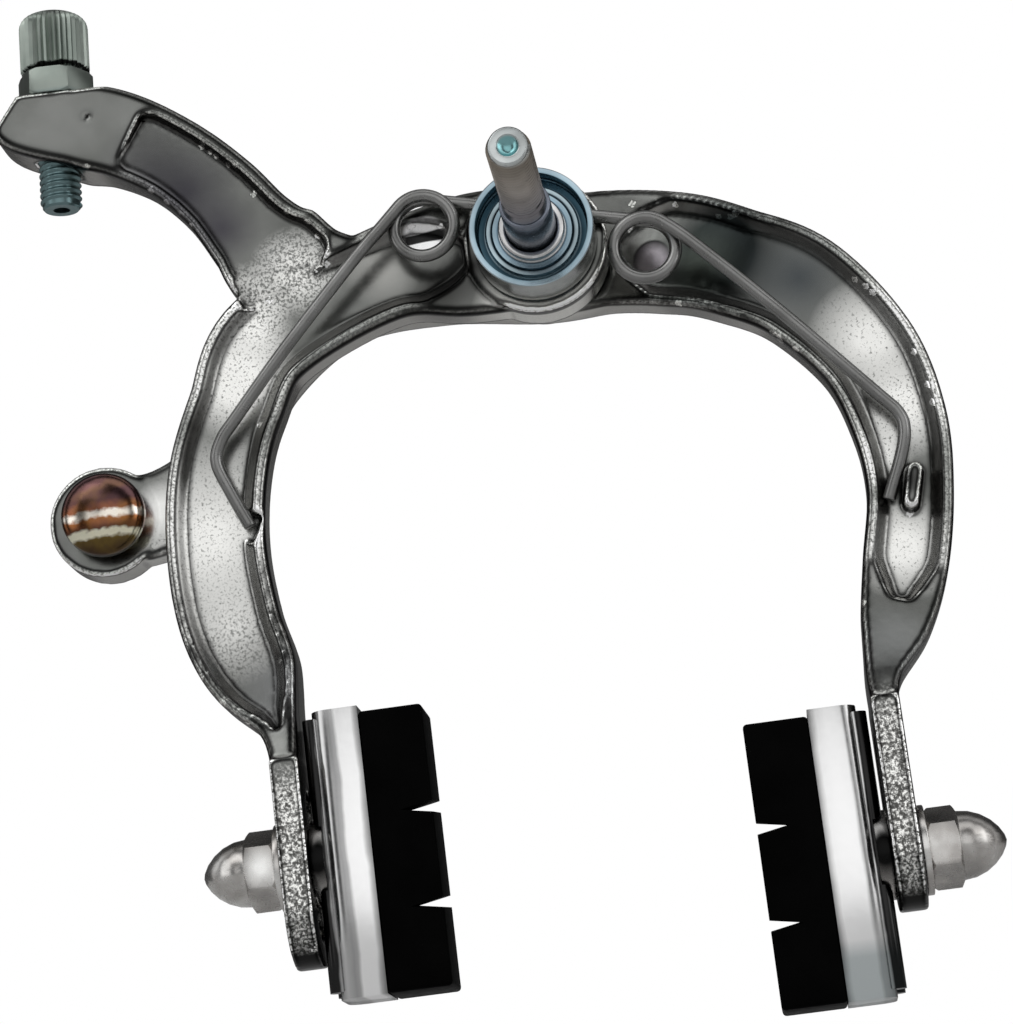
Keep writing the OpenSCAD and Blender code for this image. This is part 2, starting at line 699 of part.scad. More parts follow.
// Rubber block: a root that fills the holder and a face with two water notches
module pad_rubber(side) {
    root_gap = 0.05;
    corner = 1.6;
    x_face = -spacer_t - holder_d - rubber_out;
    x_lip = -spacer_t - holder_d - 0.1;
    z1 = pad_offset - pad_len / 2;
    z2 = z1 + pad_len - 0.8;
    mid = pad_offset + notch_offset;
    notch = [for (s = [-1, 1]) mid + s * notch_pitch / 2];
    color("dimgray") on_stud(side) difference() {
        union() {
            translate([0, pad_h / 2, 0]) rotate([90, 0, 0]) linear_extrude(pad_h) polygon([
                [x_lip, z1], [x_face + 0.4, z1], [x_face, z1 + 0.4],
                for (c = notch) each [[x_face, c - notch_mouth / 2], [x_face + 0.8, c - 0.4],
                    [x_face + notch_depth, c], [x_face + 0.8, c + 0.4], [x_face, c + notch_mouth / 2]],
                [x_face, z2 - corner - 1], [x_face + 0.5, z2 - corner / 2 - 0.4],
                [x_face + corner, z2 - 0.4], [x_lip, z2]]);
            translate([0, 0, z1 + holder_t + root_gap])
                linear_extrude(pad_len - 2 * (holder_t + root_gap)) intersection() {
                    channel_outline(holder_t + root_gap);
                    translate([x_lip - 0.5, -pad_h]) square([-spacer_t - holder_t - root_gap - x_lip + 0.5,
                        2 * pad_h]);
                }
        }
        rotate([0, -90, 0]) cylinder(d = stud_head_d + 4 * fit,
            h = spacer_t + holder_t + stud_head_t + 2 * fit);
    }
}

// Threaded stud with a coned head inside the holder
module pad_stud(side) {
    x_head = spacer_t + holder_t + fit;
    x_end = lug_t + washer_t + nut_bore_t - 0.5;
    color("silver") on_stud(side) rotate([0, 90, 0]) union() {
        translate([0, 0, -x_head - stud_head_t])
            cylinder(d1 = stud_head_d, d2 = stud_head_d - 2 * stud_head_t, h = stud_head_t);
        translate([0, 0, -x_head - 0.5]) cylinder(d = stud_d, h = x_head + 0.5 + x_end);
    }
}

module pad_ring(side, d, x1, t) {
    color("gainsboro") on_stud(side) translate([x1, 0, 0]) rotate([0, 90, 0]) difference() {
        cylinder(d = d, h = t);
        translate([0, 0, -over]) cylinder(d = stud_d + 2 * run_gap, h = t + 2 * over);
    }
}

module pad_nut(side) {
    color("silver") on_stud(side) translate([lug_t + washer_t, 0, 0]) rotate([0, 90, 0])
        cap_nut(stud_d + 2 * run_gap);
}

module left_pad_holder() pad_holder(-1);
module left_pad_rubber() pad_rubber(-1);
module left_pad_stud() pad_stud(-1);
module left_pad_spacer() pad_ring(-1, pad_washer_d, -spacer_t, spacer_t);
module left_pad_washer() pad_ring(-1, pad_washer_d, lug_t, washer_t);
module left_pad_nut() pad_nut(-1);
module right_pad_holder() pad_holder(1);
module right_pad_rubber() pad_rubber(1);
module right_pad_stud() pad_stud(1);
module right_pad_spacer() pad_ring(1, pad_washer_d, -spacer_t, spacer_t);
module right_pad_washer() pad_ring(1, pad_washer_d, lug_t, washer_t);
module right_pad_nut() pad_nut(1);

centre_bolt();
spring_seat();
seat_washer();
seat_bush();
return_spring();
rear_washer();
middle_washer();
front_washer();
adjusting_nut();
front_cap_nut();
y_arm();
adjuster_locknut();
adjuster_barrel();
c_arm();
anchor_bolt();
anchor_washer();
anchor_nut();
left_pad_holder();
left_pad_rubber();
left_pad_stud();
left_pad_spacer();
left_pad_washer();
left_pad_nut();
right_pad_holder();
right_pad_rubber();
right_pad_stud();
right_pad_spacer();
right_pad_washer();
right_pad_nut();
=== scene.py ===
import math

import bmesh
import bpy
from mathutils import Matrix, Vector


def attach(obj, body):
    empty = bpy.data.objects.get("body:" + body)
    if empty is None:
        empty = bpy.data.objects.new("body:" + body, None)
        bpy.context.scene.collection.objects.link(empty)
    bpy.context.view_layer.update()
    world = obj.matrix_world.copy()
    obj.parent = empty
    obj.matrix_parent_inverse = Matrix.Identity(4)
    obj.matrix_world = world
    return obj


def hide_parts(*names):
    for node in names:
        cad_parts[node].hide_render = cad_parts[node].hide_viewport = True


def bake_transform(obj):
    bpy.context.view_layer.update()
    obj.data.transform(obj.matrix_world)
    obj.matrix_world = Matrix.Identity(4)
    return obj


# Side-pull caliper brake for a bicycle, seen from its frame side: two forged arms on one bolt.
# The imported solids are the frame. Every piece lies in the same coordinates, in metres,
# and the sizes below are in millimetres.
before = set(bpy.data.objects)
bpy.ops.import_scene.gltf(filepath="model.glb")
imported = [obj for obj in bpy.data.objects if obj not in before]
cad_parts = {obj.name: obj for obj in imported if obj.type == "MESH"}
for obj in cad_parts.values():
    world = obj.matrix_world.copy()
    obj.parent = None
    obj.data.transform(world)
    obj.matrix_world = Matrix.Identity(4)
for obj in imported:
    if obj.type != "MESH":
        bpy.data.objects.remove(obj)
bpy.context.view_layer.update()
MM = 0.001

# Studio: a pale floor under the hanging brake, white behind it, and round bands of grey, black
# and white about the viewing side, which the polished alloy mirrors in its edges.
pixels_per_mm = 7.2
photo_height = 1024
sensor = 36
view_target = Vector((-9.13, 0, -35.99)) * MM
view_distance = 440
azimuth = math.radians(4.11)
elevation = math.radians(-14)
roll = math.radians(7)
back = Vector((math.sin(azimuth) * math.cos(elevation), -math.cos(azimuth) * math.cos(elevation),
               math.sin(elevation)))
level = (-back).cross(Vector((0, 0, 1))).normalized()
upright = level.cross(-back)
right = level * math.cos(roll) - upright * math.sin(roll)
up = level * math.sin(roll) + upright * math.cos(roll)
camera = bpy.data.objects.new("camera", bpy.data.cameras.new("camera"))
camera.data.sensor_width = sensor
camera.data.lens = sensor * pixels_per_mm * view_distance / photo_height
camera.data.clip_start = 0.01
camera.matrix_world = Matrix((right, up, back)).transposed().to_4x4()
camera.matrix_world.translation = view_target + back * (view_distance * MM)
bpy.context.scene.collection.objects.link(camera)
bpy.context.scene.camera = camera
bpy.context.scene.view_settings.view_transform = "Standard"


def add_node(tree, kind, values=None, **options):
    """A shader node; values sets sockets by name, and a linked value is a (node, output) pair."""
    made = tree.nodes.new(kind)
    for key, value in options.items():
        setattr(made, key, value)
    for key, value in (values or {}).items():
        if isinstance(value, tuple) and isinstance(value[0], bpy.types.Node):
            tree.links.new(value[0].outputs[value[1]], made.inputs[key])
        else:
            made.inputs[key].default_value = value
    return made


def ramp(tree, fac, stops, mode="LINEAR"):
    """A colour ramp with (place, grey or colour) stops."""
    made = add_node(tree, "ShaderNodeValToRGB", {"Fac": fac})
    made.color_ramp.interpolation = mode
    while len(made.color_ramp.elements) < len(stops):
        made.color_ramp.elements.new(1)
    for element, (place, shade) in zip(made.color_ramp.elements, stops):
        element.position = place
        element.color = (*shade, 1) if isinstance(shade, tuple) else (shade, shade, shade, 1)
    return made


world = bpy.data.worlds.new("studio")
bpy.context.scene.world = world
world.use_nodes = True
sky = world.node_tree
sky.nodes.clear()
direction = add_node(sky, "ShaderNodeTexCoord")
facing = add_node(sky, "ShaderNodeVectorMath", {0: (direction, "Generated"), 1: (0.05, -1, 0.1)},
                  operation="DOT_PRODUCT")
place = add_node(sky, "ShaderNodeMapRange", {"Value": (facing, "Value"), "From Min": -1, "From Max": 1})
bands = ramp(sky, (place, "Result"), [
    (0.0, 0.1), (0.2, 0.06), (0.36, 0.02), (0.42, 0.5), (0.5, 0.9), (0.56, 0.02), (0.62, 0.02), (0.68, 1.3),
    (0.8, 1.3), (0.86, 0.02), (0.915, 0.04), (0.95, 0.8), (1.0, 0.95)])
plain = add_node(sky, "ShaderNodeRGB")
plain.outputs[0].default_value = (1, 1, 1, 1)
path = add_node(sky, "ShaderNodeLightPath")
seen = add_node(sky, "ShaderNodeMix", {0: (path, "Is Camera Ray"), 6: (bands, "Color"), 7: (plain, 0)},
                data_type="RGBA")
light = add_node(sky, "ShaderNodeBackground", {"Color": (seen, 2), "Strength": 1.0})
add_node(sky, "ShaderNodeOutputWorld", {"Surface": (light, 0)})

floor_z = -165
floor_half = 1500
bm = bmesh.new()
bmesh.ops.create_grid(bm, x_segments=1, y_segments=1, size=floor_half * MM,
                      matrix=Matrix.Translation((0, 0, floor_z * MM)))
floor_mesh = bpy.data.meshes.new("floor")
bm.to_mesh(floor_mesh)
bm.free()
floor = bpy.data.objects.new("floor", floor_mesh)
bpy.context.scene.collection.objects.link(floor)
paper = bpy.data.materials.new("pale_paper")
paper.use_nodes = True
paper_shader = paper.node_tree.nodes["Principled BSDF"]
paper_shader.inputs["Base Color"].default_value = (0.82, 0.82, 0.82, 1)
paper_shader.inputs["Roughness"].default_value = 0.9
floor_mesh.materials.append(paper)

for name, spot, size, power in (("key", (-260, -420, 420), 300, 0.35), ("fill", (380, -260, 60), 260, 0.12)):
    lamp = bpy.data.lights.new(name, "AREA")
    lamp.size = size * MM
    lamp.energy = power
    lamp_object = bpy.data.objects.new(name, lamp)
    aim = view_target - Vector(spot) * MM
    lamp_object.matrix_world = aim.to_track_quat("-Z", "Y").to_matrix().to_4x4()
    lamp_object.matrix_world.translation = Vector(spot) * MM
    bpy.context.scene.collection.objects.link(lamp_object)

# Y arm: drop-forged aluminium, ground on its rims and polished. Its lower limb runs round the
# tyre to the left lug, and its upper limb reaches out to the seat of the cable adjuster.
hub_in = 0.4
hub_out = 7.0
arm_y = 3.7
arm_half = 2.95
rim_y = -6.65
web_depth = 1.6
web_slope = 1.7
lug_w = 14.5
lug_t = 4.0
hub_d = 20
bolt_hole_d = 6.1
left_lug_x = -42.2
left_slot_low = -89
left_stud_z = -81.8
tip_half = 4.8
adjuster_at = Vector((-66.6, rim_y + tip_half, 33.4))
adjuster_lean = math.radians(2.3)
adjuster_hole_d = 6.1
seat_place = Matrix.Translation(adjuster_at * MM) @ Matrix.Rotation(adjuster_lean, 4, "Y")
seat_cut = 10
pit_d = 0.9
pit_depth = 0.5
pit_x, pit_z = -61.5, 28.7
catch_x, catch_z = -44, -34.6
catch_half_w = 1.15
catch_half_len = 2
catch_turn = math.radians(24)

# A path lists an arm's stations: x, z, half width, y and half depth.
limb_path = [
    (2, 0, 8.9, -arm_y, arm_half), (-10, 0.1, 8.9, -arm_y, arm_half),
    (-22, -0.9, 7, -arm_y, arm_half), (-38.7, -7.6, 7.4, -arm_y, arm_half),
    (-44.6, -17.2, 6.8, -arm_y, arm_half), (-48, -26.5, 7, -arm_y, arm_half),
    (-49.2, -37, 7, -arm_y, arm_half), (-48.3, -47.5, 7, -arm_y, arm_half),
    (-45.5, -55.8, 6.1, -arm_y, arm_half + 0.9), (-42.9, -63, 2.8, -arm_y, lug_w / 2 - 2),
    (left_lug_x, -68.7, lug_t / 2 - 0.1, -arm_y, lug_w / 2 - 0.1),
    (left_lug_x, -71.4, lug_t / 2 - 0.1, -arm_y, lug_w / 2 - 0.1)]
horn_path = [
    (-73.2, 31.3, 3.4, rim_y + 3.8, 3.8), (-71.6, 30.2, 4.7, rim_y + 4.4, 4.4),
    (-67.5, 28.6, 5.2, rim_y + tip_half, tip_half), (-62, 27.6, 6.3, rim_y + tip_half, tip_half),
    (-56.2, 25.2, 6.3, rim_y + 3.8, 3.8), (-49.3, 20.4, 6.1, -arm_y, arm_half),
    (-43.7, 14.5, 6.3, -arm_y, arm_half), (-39.6, 8.3, 6.9, -arm_y, arm_half),
    (-36.3, 4, 8.2, -arm_y, arm_half), (-31, 0.3, 7.2, -arm_y, arm_half), (-24, -1.8, 6, -arm_y, arm_half)]
fork_path = [
    (-31.5, 3, 4.2, -arm_y, arm_half), (-37, 0.8, 4.6, -arm_y, arm_half),
    (-42.6, -1.6, 4, -arm_y, arm_half)]


def smoothed(points, n):
    """The points of a smooth curve through a list, n steps to a span."""
    points = [Vector(p) for p in points]
    curve = []
    for i in range(len(points) - 1):
        a, b = points[max(i - 1, 0)], points[i]
        c, d = points[i + 1], points[min(i + 2, len(points) - 1)]
        for k in range(n):
            t = k / n
            curve.append((2 * b + (c - a) * t + (2 * a - 5 * b + 4 * c - d) * t * t
                          + (3 * b - a - 3 * c + d) * t ** 3) / 2)
    return curve + [points[-1]]


def across(stations, i, ring):
    """Puts a ring of (across, depth) points at right angles to an arm's middle line."""
    s = stations[i]
    ahead, behind = stations[min(i + 1, len(stations) - 1)], stations[max(i - 1, 0)]
    run = Vector((ahead[0] - behind[0], ahead[1] - behind[1])).normalized()
    return [Vector((s[0] + u * run.y, s[3] + v, s[1] - u * run.x)) for u, v in ring]


def through(rings):
    """A closed body through rings of points: a sheet rolled into a tube, its ends filled."""
    m, n = len(rings[0]), len(rings)
    bm = bmesh.new()
    bmesh.ops.create_grid(bm, x_segments=m, y_segments=n - 1, size=1)
    for v in bm.verts:
        i, j = round((v.co.x + 1) / 2 * m) % m, round((v.co.y + 1) / 2 * (n - 1))
        v.co = rings[j][i] * MM
    bmesh.ops.remove_doubles(bm, verts=bm.verts, dist=1e-8)
    bmesh.ops.holes_fill(bm, edges=[e for e in bm.edges if e.is_boundary], sides=0)
    bmesh.ops.recalc_face_normals(bm, faces=bm.faces)
    return bm


def rounded(hw, hd, r, steps=5):
    """A rectangle's ring with round corners."""
    ring = []
    for q in range(4):
        for k in range(steps + 1):
            a = math.pi / 2 * (q + k / steps)
            u = (1 if q in (0, 3) else -1) * (hw - r)
            v = (1 if q < 2 else -1) * (hd - r)
            ring.append((u + r * math.cos(a), v + r * math.sin(a)))
    return ring


def limb(points, n=10):
    """A limb's solid, with round corners, along its stations."""
    stations = smoothed(points, n)
    return through([across(stations, i, rounded(s[2], s[4], min(1.0, s[2] - 0.4)))
                    for i, s in enumerate(stations)])


def web(points, start, end, plus, minus, blunt=0.12, shallow=web_depth, slope=web_slope, n=10):
    """The tool that sinks the web into a limb's rear face, between two stations. blunt is how
    square its ends are, and shallow its depth along the side named plus."""
    stations = smoothed(points, n)
    first, final = round(start * n), round(end * n)
    rings = []
    for i in range(first, final + 1):
        s = stations[i]
        k = math.sqrt(min(1, blunt + 1.4 * min(i - first, final - i) / n))
        top, low, rear = (s[2] - plus) * k, -(s[2] - minus) * k, -s[4]
        foot = min(slope, 0.3 * (top - low))
        ring = [(top + 0.1, rear - 1), (top, rear), (top - foot, rear + shallow),
                (low + foot, rear + web_depth), (low, rear), (low - 0.1, rear - 1)]
        rings.append(across(stations, i, ring))
    return through(rings)


def rod(d, start, end, sides=64):
    """A cylinder between two points."""
    start, end = Vector(start) * MM, Vector(end) * MM
    bm = bmesh.new()
    turn = (end - start).to_track_quat("Z", "Y").to_matrix().to_4x4()
    bmesh.ops.create_cone(bm, cap_ends=True, segments=sides, radius1=d / 2 * MM, radius2=d / 2 * MM,
                          depth=(end - start).length, matrix=Matrix.Translation((start + end) / 2) @ turn)
    return bm


def block(low, high):
    """A box between two corners."""
    low, high = Vector(low), Vector(high)
    bm = bmesh.new()
    bmesh.ops.create_cube(bm, size=1)
    bmesh.ops.transform(bm, verts=bm.verts, matrix=Matrix.Translation((low + high) / 2 * MM)
                        @ Matrix.Diagonal((*((high - low) * MM), 1)))
    return bm


def as_object(bm, name):
    """An object made of a body, in the scene."""
    mesh = bpy.data.meshes.new(name)
    bm.to_mesh(mesh)
    bm.free()
    made = bpy.data.objects.new(name, mesh)
    bpy.context.scene.collection.objects.link(made)
    return made


def settle(piece):
    """Turns a piece's modifiers into its mesh."""
    seen_now = bpy.context.evaluated_depsgraph_get()
    mesh = bpy.data.meshes.new_from_object(piece.evaluated_get(seen_now))
    piece.modifiers.clear()
    piece.data = mesh


def combine(piece, bm, operation):
    """Adds a body to a piece, or cuts it away."""
    tool = as_object(bm, "tool")
    step = piece.modifiers.new("step", "BOOLEAN")
    step.operation = operation
    step.solver = "EXACT"
    step.object = tool
    settle(piece)
    bpy.data.objects.remove(tool)


def forge(piece, voxel=0.32, rounds=7):
    """Gives a piece the soft edges of a forging that was polished."""
    step = piece.modifiers.new("skin", "REMESH")
    step.mode = "VOXEL"
    step.voxel_size = voxel * MM
    step.use_smooth_shade = True
    step = piece.modifiers.new("polish", "SMOOTH")
    step.factor = 0.5
    step.iterations = rounds
    settle(piece)


def as_body(piece):
    """A piece's mesh as a body again; the piece itself is removed."""
    bm = bmesh.new()
    bm.from_mesh(piece.data)
    bpy.data.objects.remove(piece)
    return bm


def lug(x, slot_low, top=-68, slot_travel=14, slot_w=6.4, slot_wall=3.6, ground_off=0.03, past=5):
    """A slotted lug plate, ground on its faces: its low end is round, and the slot goes through."""
    round_z = slot_low - slot_w / 2 - slot_wall + lug_w / 2
    slot_high = slot_low + slot_travel
    left, right = x - lug_t / 2 + ground_off, x + lug_t / 2 - ground_off
    near, far = x - past, x + past
    plate = as_object(rod(lug_w, (left, -arm_y, round_z), (right, -arm_y, round_z)), "plate")
    combine(plate, block((left, -arm_y - lug_w / 2, round_z), (right, -arm_y + lug_w / 2, top)), "UNION")
    for tool in (rod(slot_w, (near, -arm_y, slot_low), (far, -arm_y, slot_low)),
                 rod(slot_w, (near, -arm_y, slot_high), (far, -arm_y, slot_high)),
                 block((near, -arm_y - slot_w / 2, slot_low), (far, -arm_y + slot_w / 2, slot_high))):
        combine(plate, tool, "DIFFERENCE")
    return as_body(plate)


y_arm = as_object(limb(limb_path), "y_arm_forging")
combine(y_arm, limb(horn_path), "UNION")
combine(y_arm, web(limb_path, 1, 9.1, 1.4, 1.4), "DIFFERENCE")
combine(y_arm, web(horn_path, 4.1, 9, 1.2, 1.8, blunt=0.72, shallow=0.45, slope=0.7), "DIFFERENCE")
combine(y_arm, web(fork_path, 0, 2, 0, 0, blunt=0.3, shallow=0.45), "DIFFERENCE")
combine(y_arm, rod(hub_d, (0, -hub_out, 0), (0, -hub_in, 0)), "UNION")
combine(y_arm, lug(left_lug_x, left_slot_low), "UNION")
combine(y_arm, rod(bolt_hole_d, (0, -hub_out - 1, 0), (0, 1, 0)), "DIFFERENCE")
for tool in (block((-seat_cut, -seat_cut, 0), (seat_cut, seat_cut, seat_cut)),
             rod(adjuster_hole_d, (0, 0, -2 * seat_cut), (0, 0, 2 * seat_cut))):
    bmesh.ops.transform(tool, verts=tool.verts, matrix=seat_place)
    combine(y_arm, tool, "DIFFERENCE")
pit = rod(pit_d, (pit_x, rim_y - 1, pit_z), (pit_x, rim_y + pit_depth, pit_z), 16)
combine(y_arm, pit, "DIFFERENCE")
# The spring's left leg rests in a notch in the web's inner wall.
catch = block((-catch_half_w, rim_y - 1, -catch_half_len), (catch_half_w, rim_y + web_depth, catch_half_len))
bmesh.ops.transform(catch, verts=catch.verts, matrix=Matrix.Translation((catch_x * MM, 0, catch_z * MM))
                    @ Matrix.Rotation(catch_turn, 4, "Y"))
combine(y_arm, catch, "DIFFERENCE")
forge(y_arm)


def finish_start(name, metallic=1.0, roughness=None):
    """A new finish: its tree, its shader, the object coordinates, and a fine and a coarse noise."""
    made = bpy.data.materials.new(name)
    made.use_nodes = True
    tree = made.node_tree
    shader = tree.nodes["Principled BSDF"]
    shader.inputs["Metallic"].default_value = metallic
    if roughness is not None:
        shader.inputs["Roughness"].default_value = roughness
    where = add_node(tree, "ShaderNodeTexCoord")
    fine = add_node(tree, "ShaderNodeTexNoise", {"Vector": (where, "Object"), "Scale": 900, "Detail": 4})
    coarse = add_node(tree, "ShaderNodeTexNoise", {"Vector": (where, "Object"), "Scale": 130, "Detail": 3})
    return made, tree, shader, where, fine, coarse


def mixed(tree, fac, first, second, blend="MIX"):
    """One colour laid over another."""
    return add_node(tree, "ShaderNodeMix", {0: fac, 6: first, 7: second}, data_type="RGBA", blend_type=blend)


def spot_at(tree, where, centre, near, far):
    """A soft round place on a piece: 1 within near millimetres of its centre, 0 beyond far."""
    gap = add_node(tree, "ShaderNodeVectorMath", {0: (where, "Object"), 1: Vector(centre) * MM},
                   operation="DISTANCE")
    return add_node(tree, "ShaderNodeMapRange", {"Value": (gap, "Value"), "From Min": near * MM,
                                                 "From Max": far * MM, "To Min": 1.0, "To Max": 0.0})


def uneven(tree, shader, roughness, height, strength, depth):
    """Roughness between two values and a bump, both from one noise."""
    gloss = add_node(tree, "ShaderNodeMapRange", {"Value": (height, "Fac"), "To Min": roughness[0],
                                                  "To Max": roughness[1]})
    bump = add_node(tree, "ShaderNodeBump", {"Height": (height, "Fac"), "Strength": strength,
                                             "Distance": depth * MM})
    tree.links.new(gloss.outputs[0], shader.inputs["Roughness"])
    tree.links.new(bump.outputs[0], shader.inputs["Normal"])


def dress(piece, finish, body, slot, *nodes):
    """Gives a piece its finish, and has it ride on a body, or stay fixed where it is when given two, in
    place of its CAD nodes."""
    piece.data.materials.clear()
    piece.data.materials.append(finish)
    if isinstance(body, str):
        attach(piece, body)
    else:
        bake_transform(piece)
    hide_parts(*nodes)


alloy, tree, shader, where, fine, coarse = finish_start("polished_alloy")
edge = add_node(tree, "ShaderNodeNewGeometry")
tone = ramp(tree, (coarse, "Fac"), [(0.3, (0.165, 0.17, 0.16)), (0.7, (0.23, 0.235, 0.225))])
tilt = add_node(tree, "ShaderNodeSeparateXYZ", {0: (where, "Normal")})
lean = add_node(tree, "ShaderNodeMath", {0: (tilt, "Y")}, operation="ABSOLUTE")
wall = ramp(tree, (lean, 0), [(0.6, 1.0), (0.9, 0.0)])
# The side walls are painted paler than the faces: painted light on them.
paint = mixed(tree, (wall, "Color"), (tone, "Color"), (0.4, 0.39, 0.37, 1))
# Painted shade, painted reflections and painted highlights on the castings: where each lies, how far it
# reaches, and its tone.
for centre, near, far, shade in (
        ((-53.5, -5, 19.5), 0, 8, (0.12, 0.12, 0.125)), ((-48.5, -5, 15), 0, 8, (0.055, 0.052, 0.065)),
        ((-44, -5, 9), 0, 6, (0.06, 0.056, 0.07)), ((25, -4, -4), 5, 12, (0.02, 0.024, 0.024)),
        ((35.5, -4, -10), 1, 8, (0.075, 0.083, 0.087)), ((15.2, -1, -2.4), 2.9, 3.2, (0.02, 0.02, 0.02)),
        ((22, -1, -6), 1, 8, (0.03, 0.035, 0.03)), ((15.2, -1, -3), 2, 3.4, (0.22, 0.205, 0.22)),
        ((-9, -7, -2), 0, 6, (0.03, 0.03, 0.03)), ((-14, -5, -5), 1, 6, (0.03, 0.03, 0.028)),
        ((-22, -5, 0.5), 1, 6, (0.42, 0.42, 0.4)), ((0, -4, -11), 5, 11, (0.85, 0.84, 0.8)),
        ((45.8, -8, -41), 0, 2.6, (0.02, 0.02, 0.02)), ((-57.5, 0.7, -28.6), 1, 4.5, (0.9, 0.9, 0.88)),
        ((-41, -6, -58), 2, 8, (0.26, 0.265, 0.265)), ((-41.2, -6.5, -53.5), 0, 1.8, (0.01, 0.01, 0.01)),
        ((40, -6, -64), 2, 7, (0.33, 0.34, 0.335))):
    reach = spot_at(tree, where, centre, near, far)
    paint = mixed(tree, (reach, 0), (paint, 2), (*shade, 1))
speck = add_node(tree, "ShaderNodeTexNoise", {"Vector": (where, "Object"), "Scale": 2600, "Detail": 4,
                                              "Roughness": 0.65})
# Bright speckle on the places where the polish is thin: where, how far, how dense, how light.
for centre, near, far, start, stop, shade in (
        ((-34, -5, 1.5), 2, 7, 0.42, 0.54, 0.95), ((-41, -5, -2), 1, 6, 0.42, 0.54, 0.95),
        ((-41, -5, -6), 1, 6, 0.38, 0.5, 1.0), ((-44, -5, -13), 3, 9, 0.34, 0.46, 1.0),
        ((-50, -5, -35), 2, 16, 0.3, 0.47, 0.97), ((-48, -5, -48), 0, 9, 0.36, 0.52, 0.85),
        ((44, -6, -20), 2, 9, 0.3, 0.44, 0.9), ((47, -6, -30), 2, 8, 0.34, 0.46, 0.95),
        ((42.5, -6, -37), 1, 5, 0.34, 0.44, 1.0), ((44, -6, -50), 2, 8, 0.32, 0.44, 0.95)):
    reach = spot_at(tree, where, centre, near, far)
    dots = ramp(tree, (speck, "Fac"), [(start, 0.0), (stop, 1.0)])
    amount = add_node(tree, "ShaderNodeMath", {0: (reach, 0), 1: (dots, "Color")}, operation="MULTIPLY")
    paint = mixed(tree, (amount, 0), (paint, 2), (shade, shade, 0.97 * shade, 1))
# The walls beside the rims are painted dark: painted shade in the grooves.
place_at = add_node(tree, "ShaderNodeSeparateXYZ", {0: (where, "Object")})
depth = add_node(tree, "ShaderNodeMapRange", {0: (place_at, "Y"), 1: -6.4 * MM, 2: -4.4 * MM})
groove_shade = ramp(tree, (depth, 0), [(0.05, 0.6), (0.2, 1.0), (0.55, 0.9), (0.7, 0.0)])
shaded_groove_wall = add_node(tree, "ShaderNodeMath", {0: (groove_shade, "Color"), 1: (wall, "Color")},
                       operation="MULTIPLY")
paint = mixed(tree, (shaded_groove_wall, 0), (paint, 2), (0.035, 0.034, 0.033, 1))
# The lugs: rough sawn edges, and their sides painted black, painted shade between lug and pad.
low_down = add_node(tree, "ShaderNodeMapRange", {"Value": (place_at, "Z"), "From Min": -68 * MM,
                                                 "From Max": -73 * MM})
sawn = ramp(tree, (speck, "Fac"), [(0.42, (0.08, 0.08, 0.075)), (0.5, (0.3, 0.3, 0.29)),
                                   (0.6, (1, 1, 0.97))])
sides = mixed(tree, (wall, "Color"), (sawn, "Color"), (0.02, 0.02, 0.02, 1))
paint = mixed(tree, (low_down, 0), (paint, 2), (sides, 2))
# Glints on the arm, seen through the spring's left coil.
stripes = add_node(tree, "ShaderNodeTexWave", {"Vector": (where, "Object"), "Scale": 90, "Distortion": 1.5},
                   bands_direction="Z")
glints = ramp(tree, (stripes, "Fac"), [(0.25, 0.03), (0.4, 1.0)])
in_coil = spot_at(tree, where, (-15.6, -6.5, 3.3), 2.9, 3.4)
paint = mixed(tree, (in_coil, 0), (paint, 2), (glints, "Color"))
# Painted shade in hollow corners. Painted highlights on sharp edges, with a painted dark line beside them,
# broken up by a rough speckle.
edge_light_and_shade = ramp(tree, (edge, "Pointiness"), [(0.45, 0.0), (0.485, 0.4), (0.497, 1.0), (0.503, 1.0),
                                         (0.511, 0.12), (0.519, 0.15), (0.53, 4.5)])
rough_edge_light = ramp(tree, (speck, "Fac"), [(0.42, 0.35), (0.55, 1.0)])
edge_lit_paint = mixed(tree, 1.0, (paint, 2), (edge_light_and_shade, "Color"), "MULTIPLY")
near_edge = ramp(tree, (edge, "Pointiness"), [(0.513, 0.0), (0.525, 1.0)])
edge_lit_paint = mixed(tree, (near_edge, "Color"), (edge_lit_paint, 2), (rough_edge_light, "Color"), "MULTIPLY")
tree.links.new(edge_lit_paint.outputs[2], shader.inputs["Base Color"])
uneven(tree, shader, (0.16, 0.3), fine, 0.06, 0.2)
dress(y_arm, alloy, "y_arm_body", "forged_alloy", "y_arm")

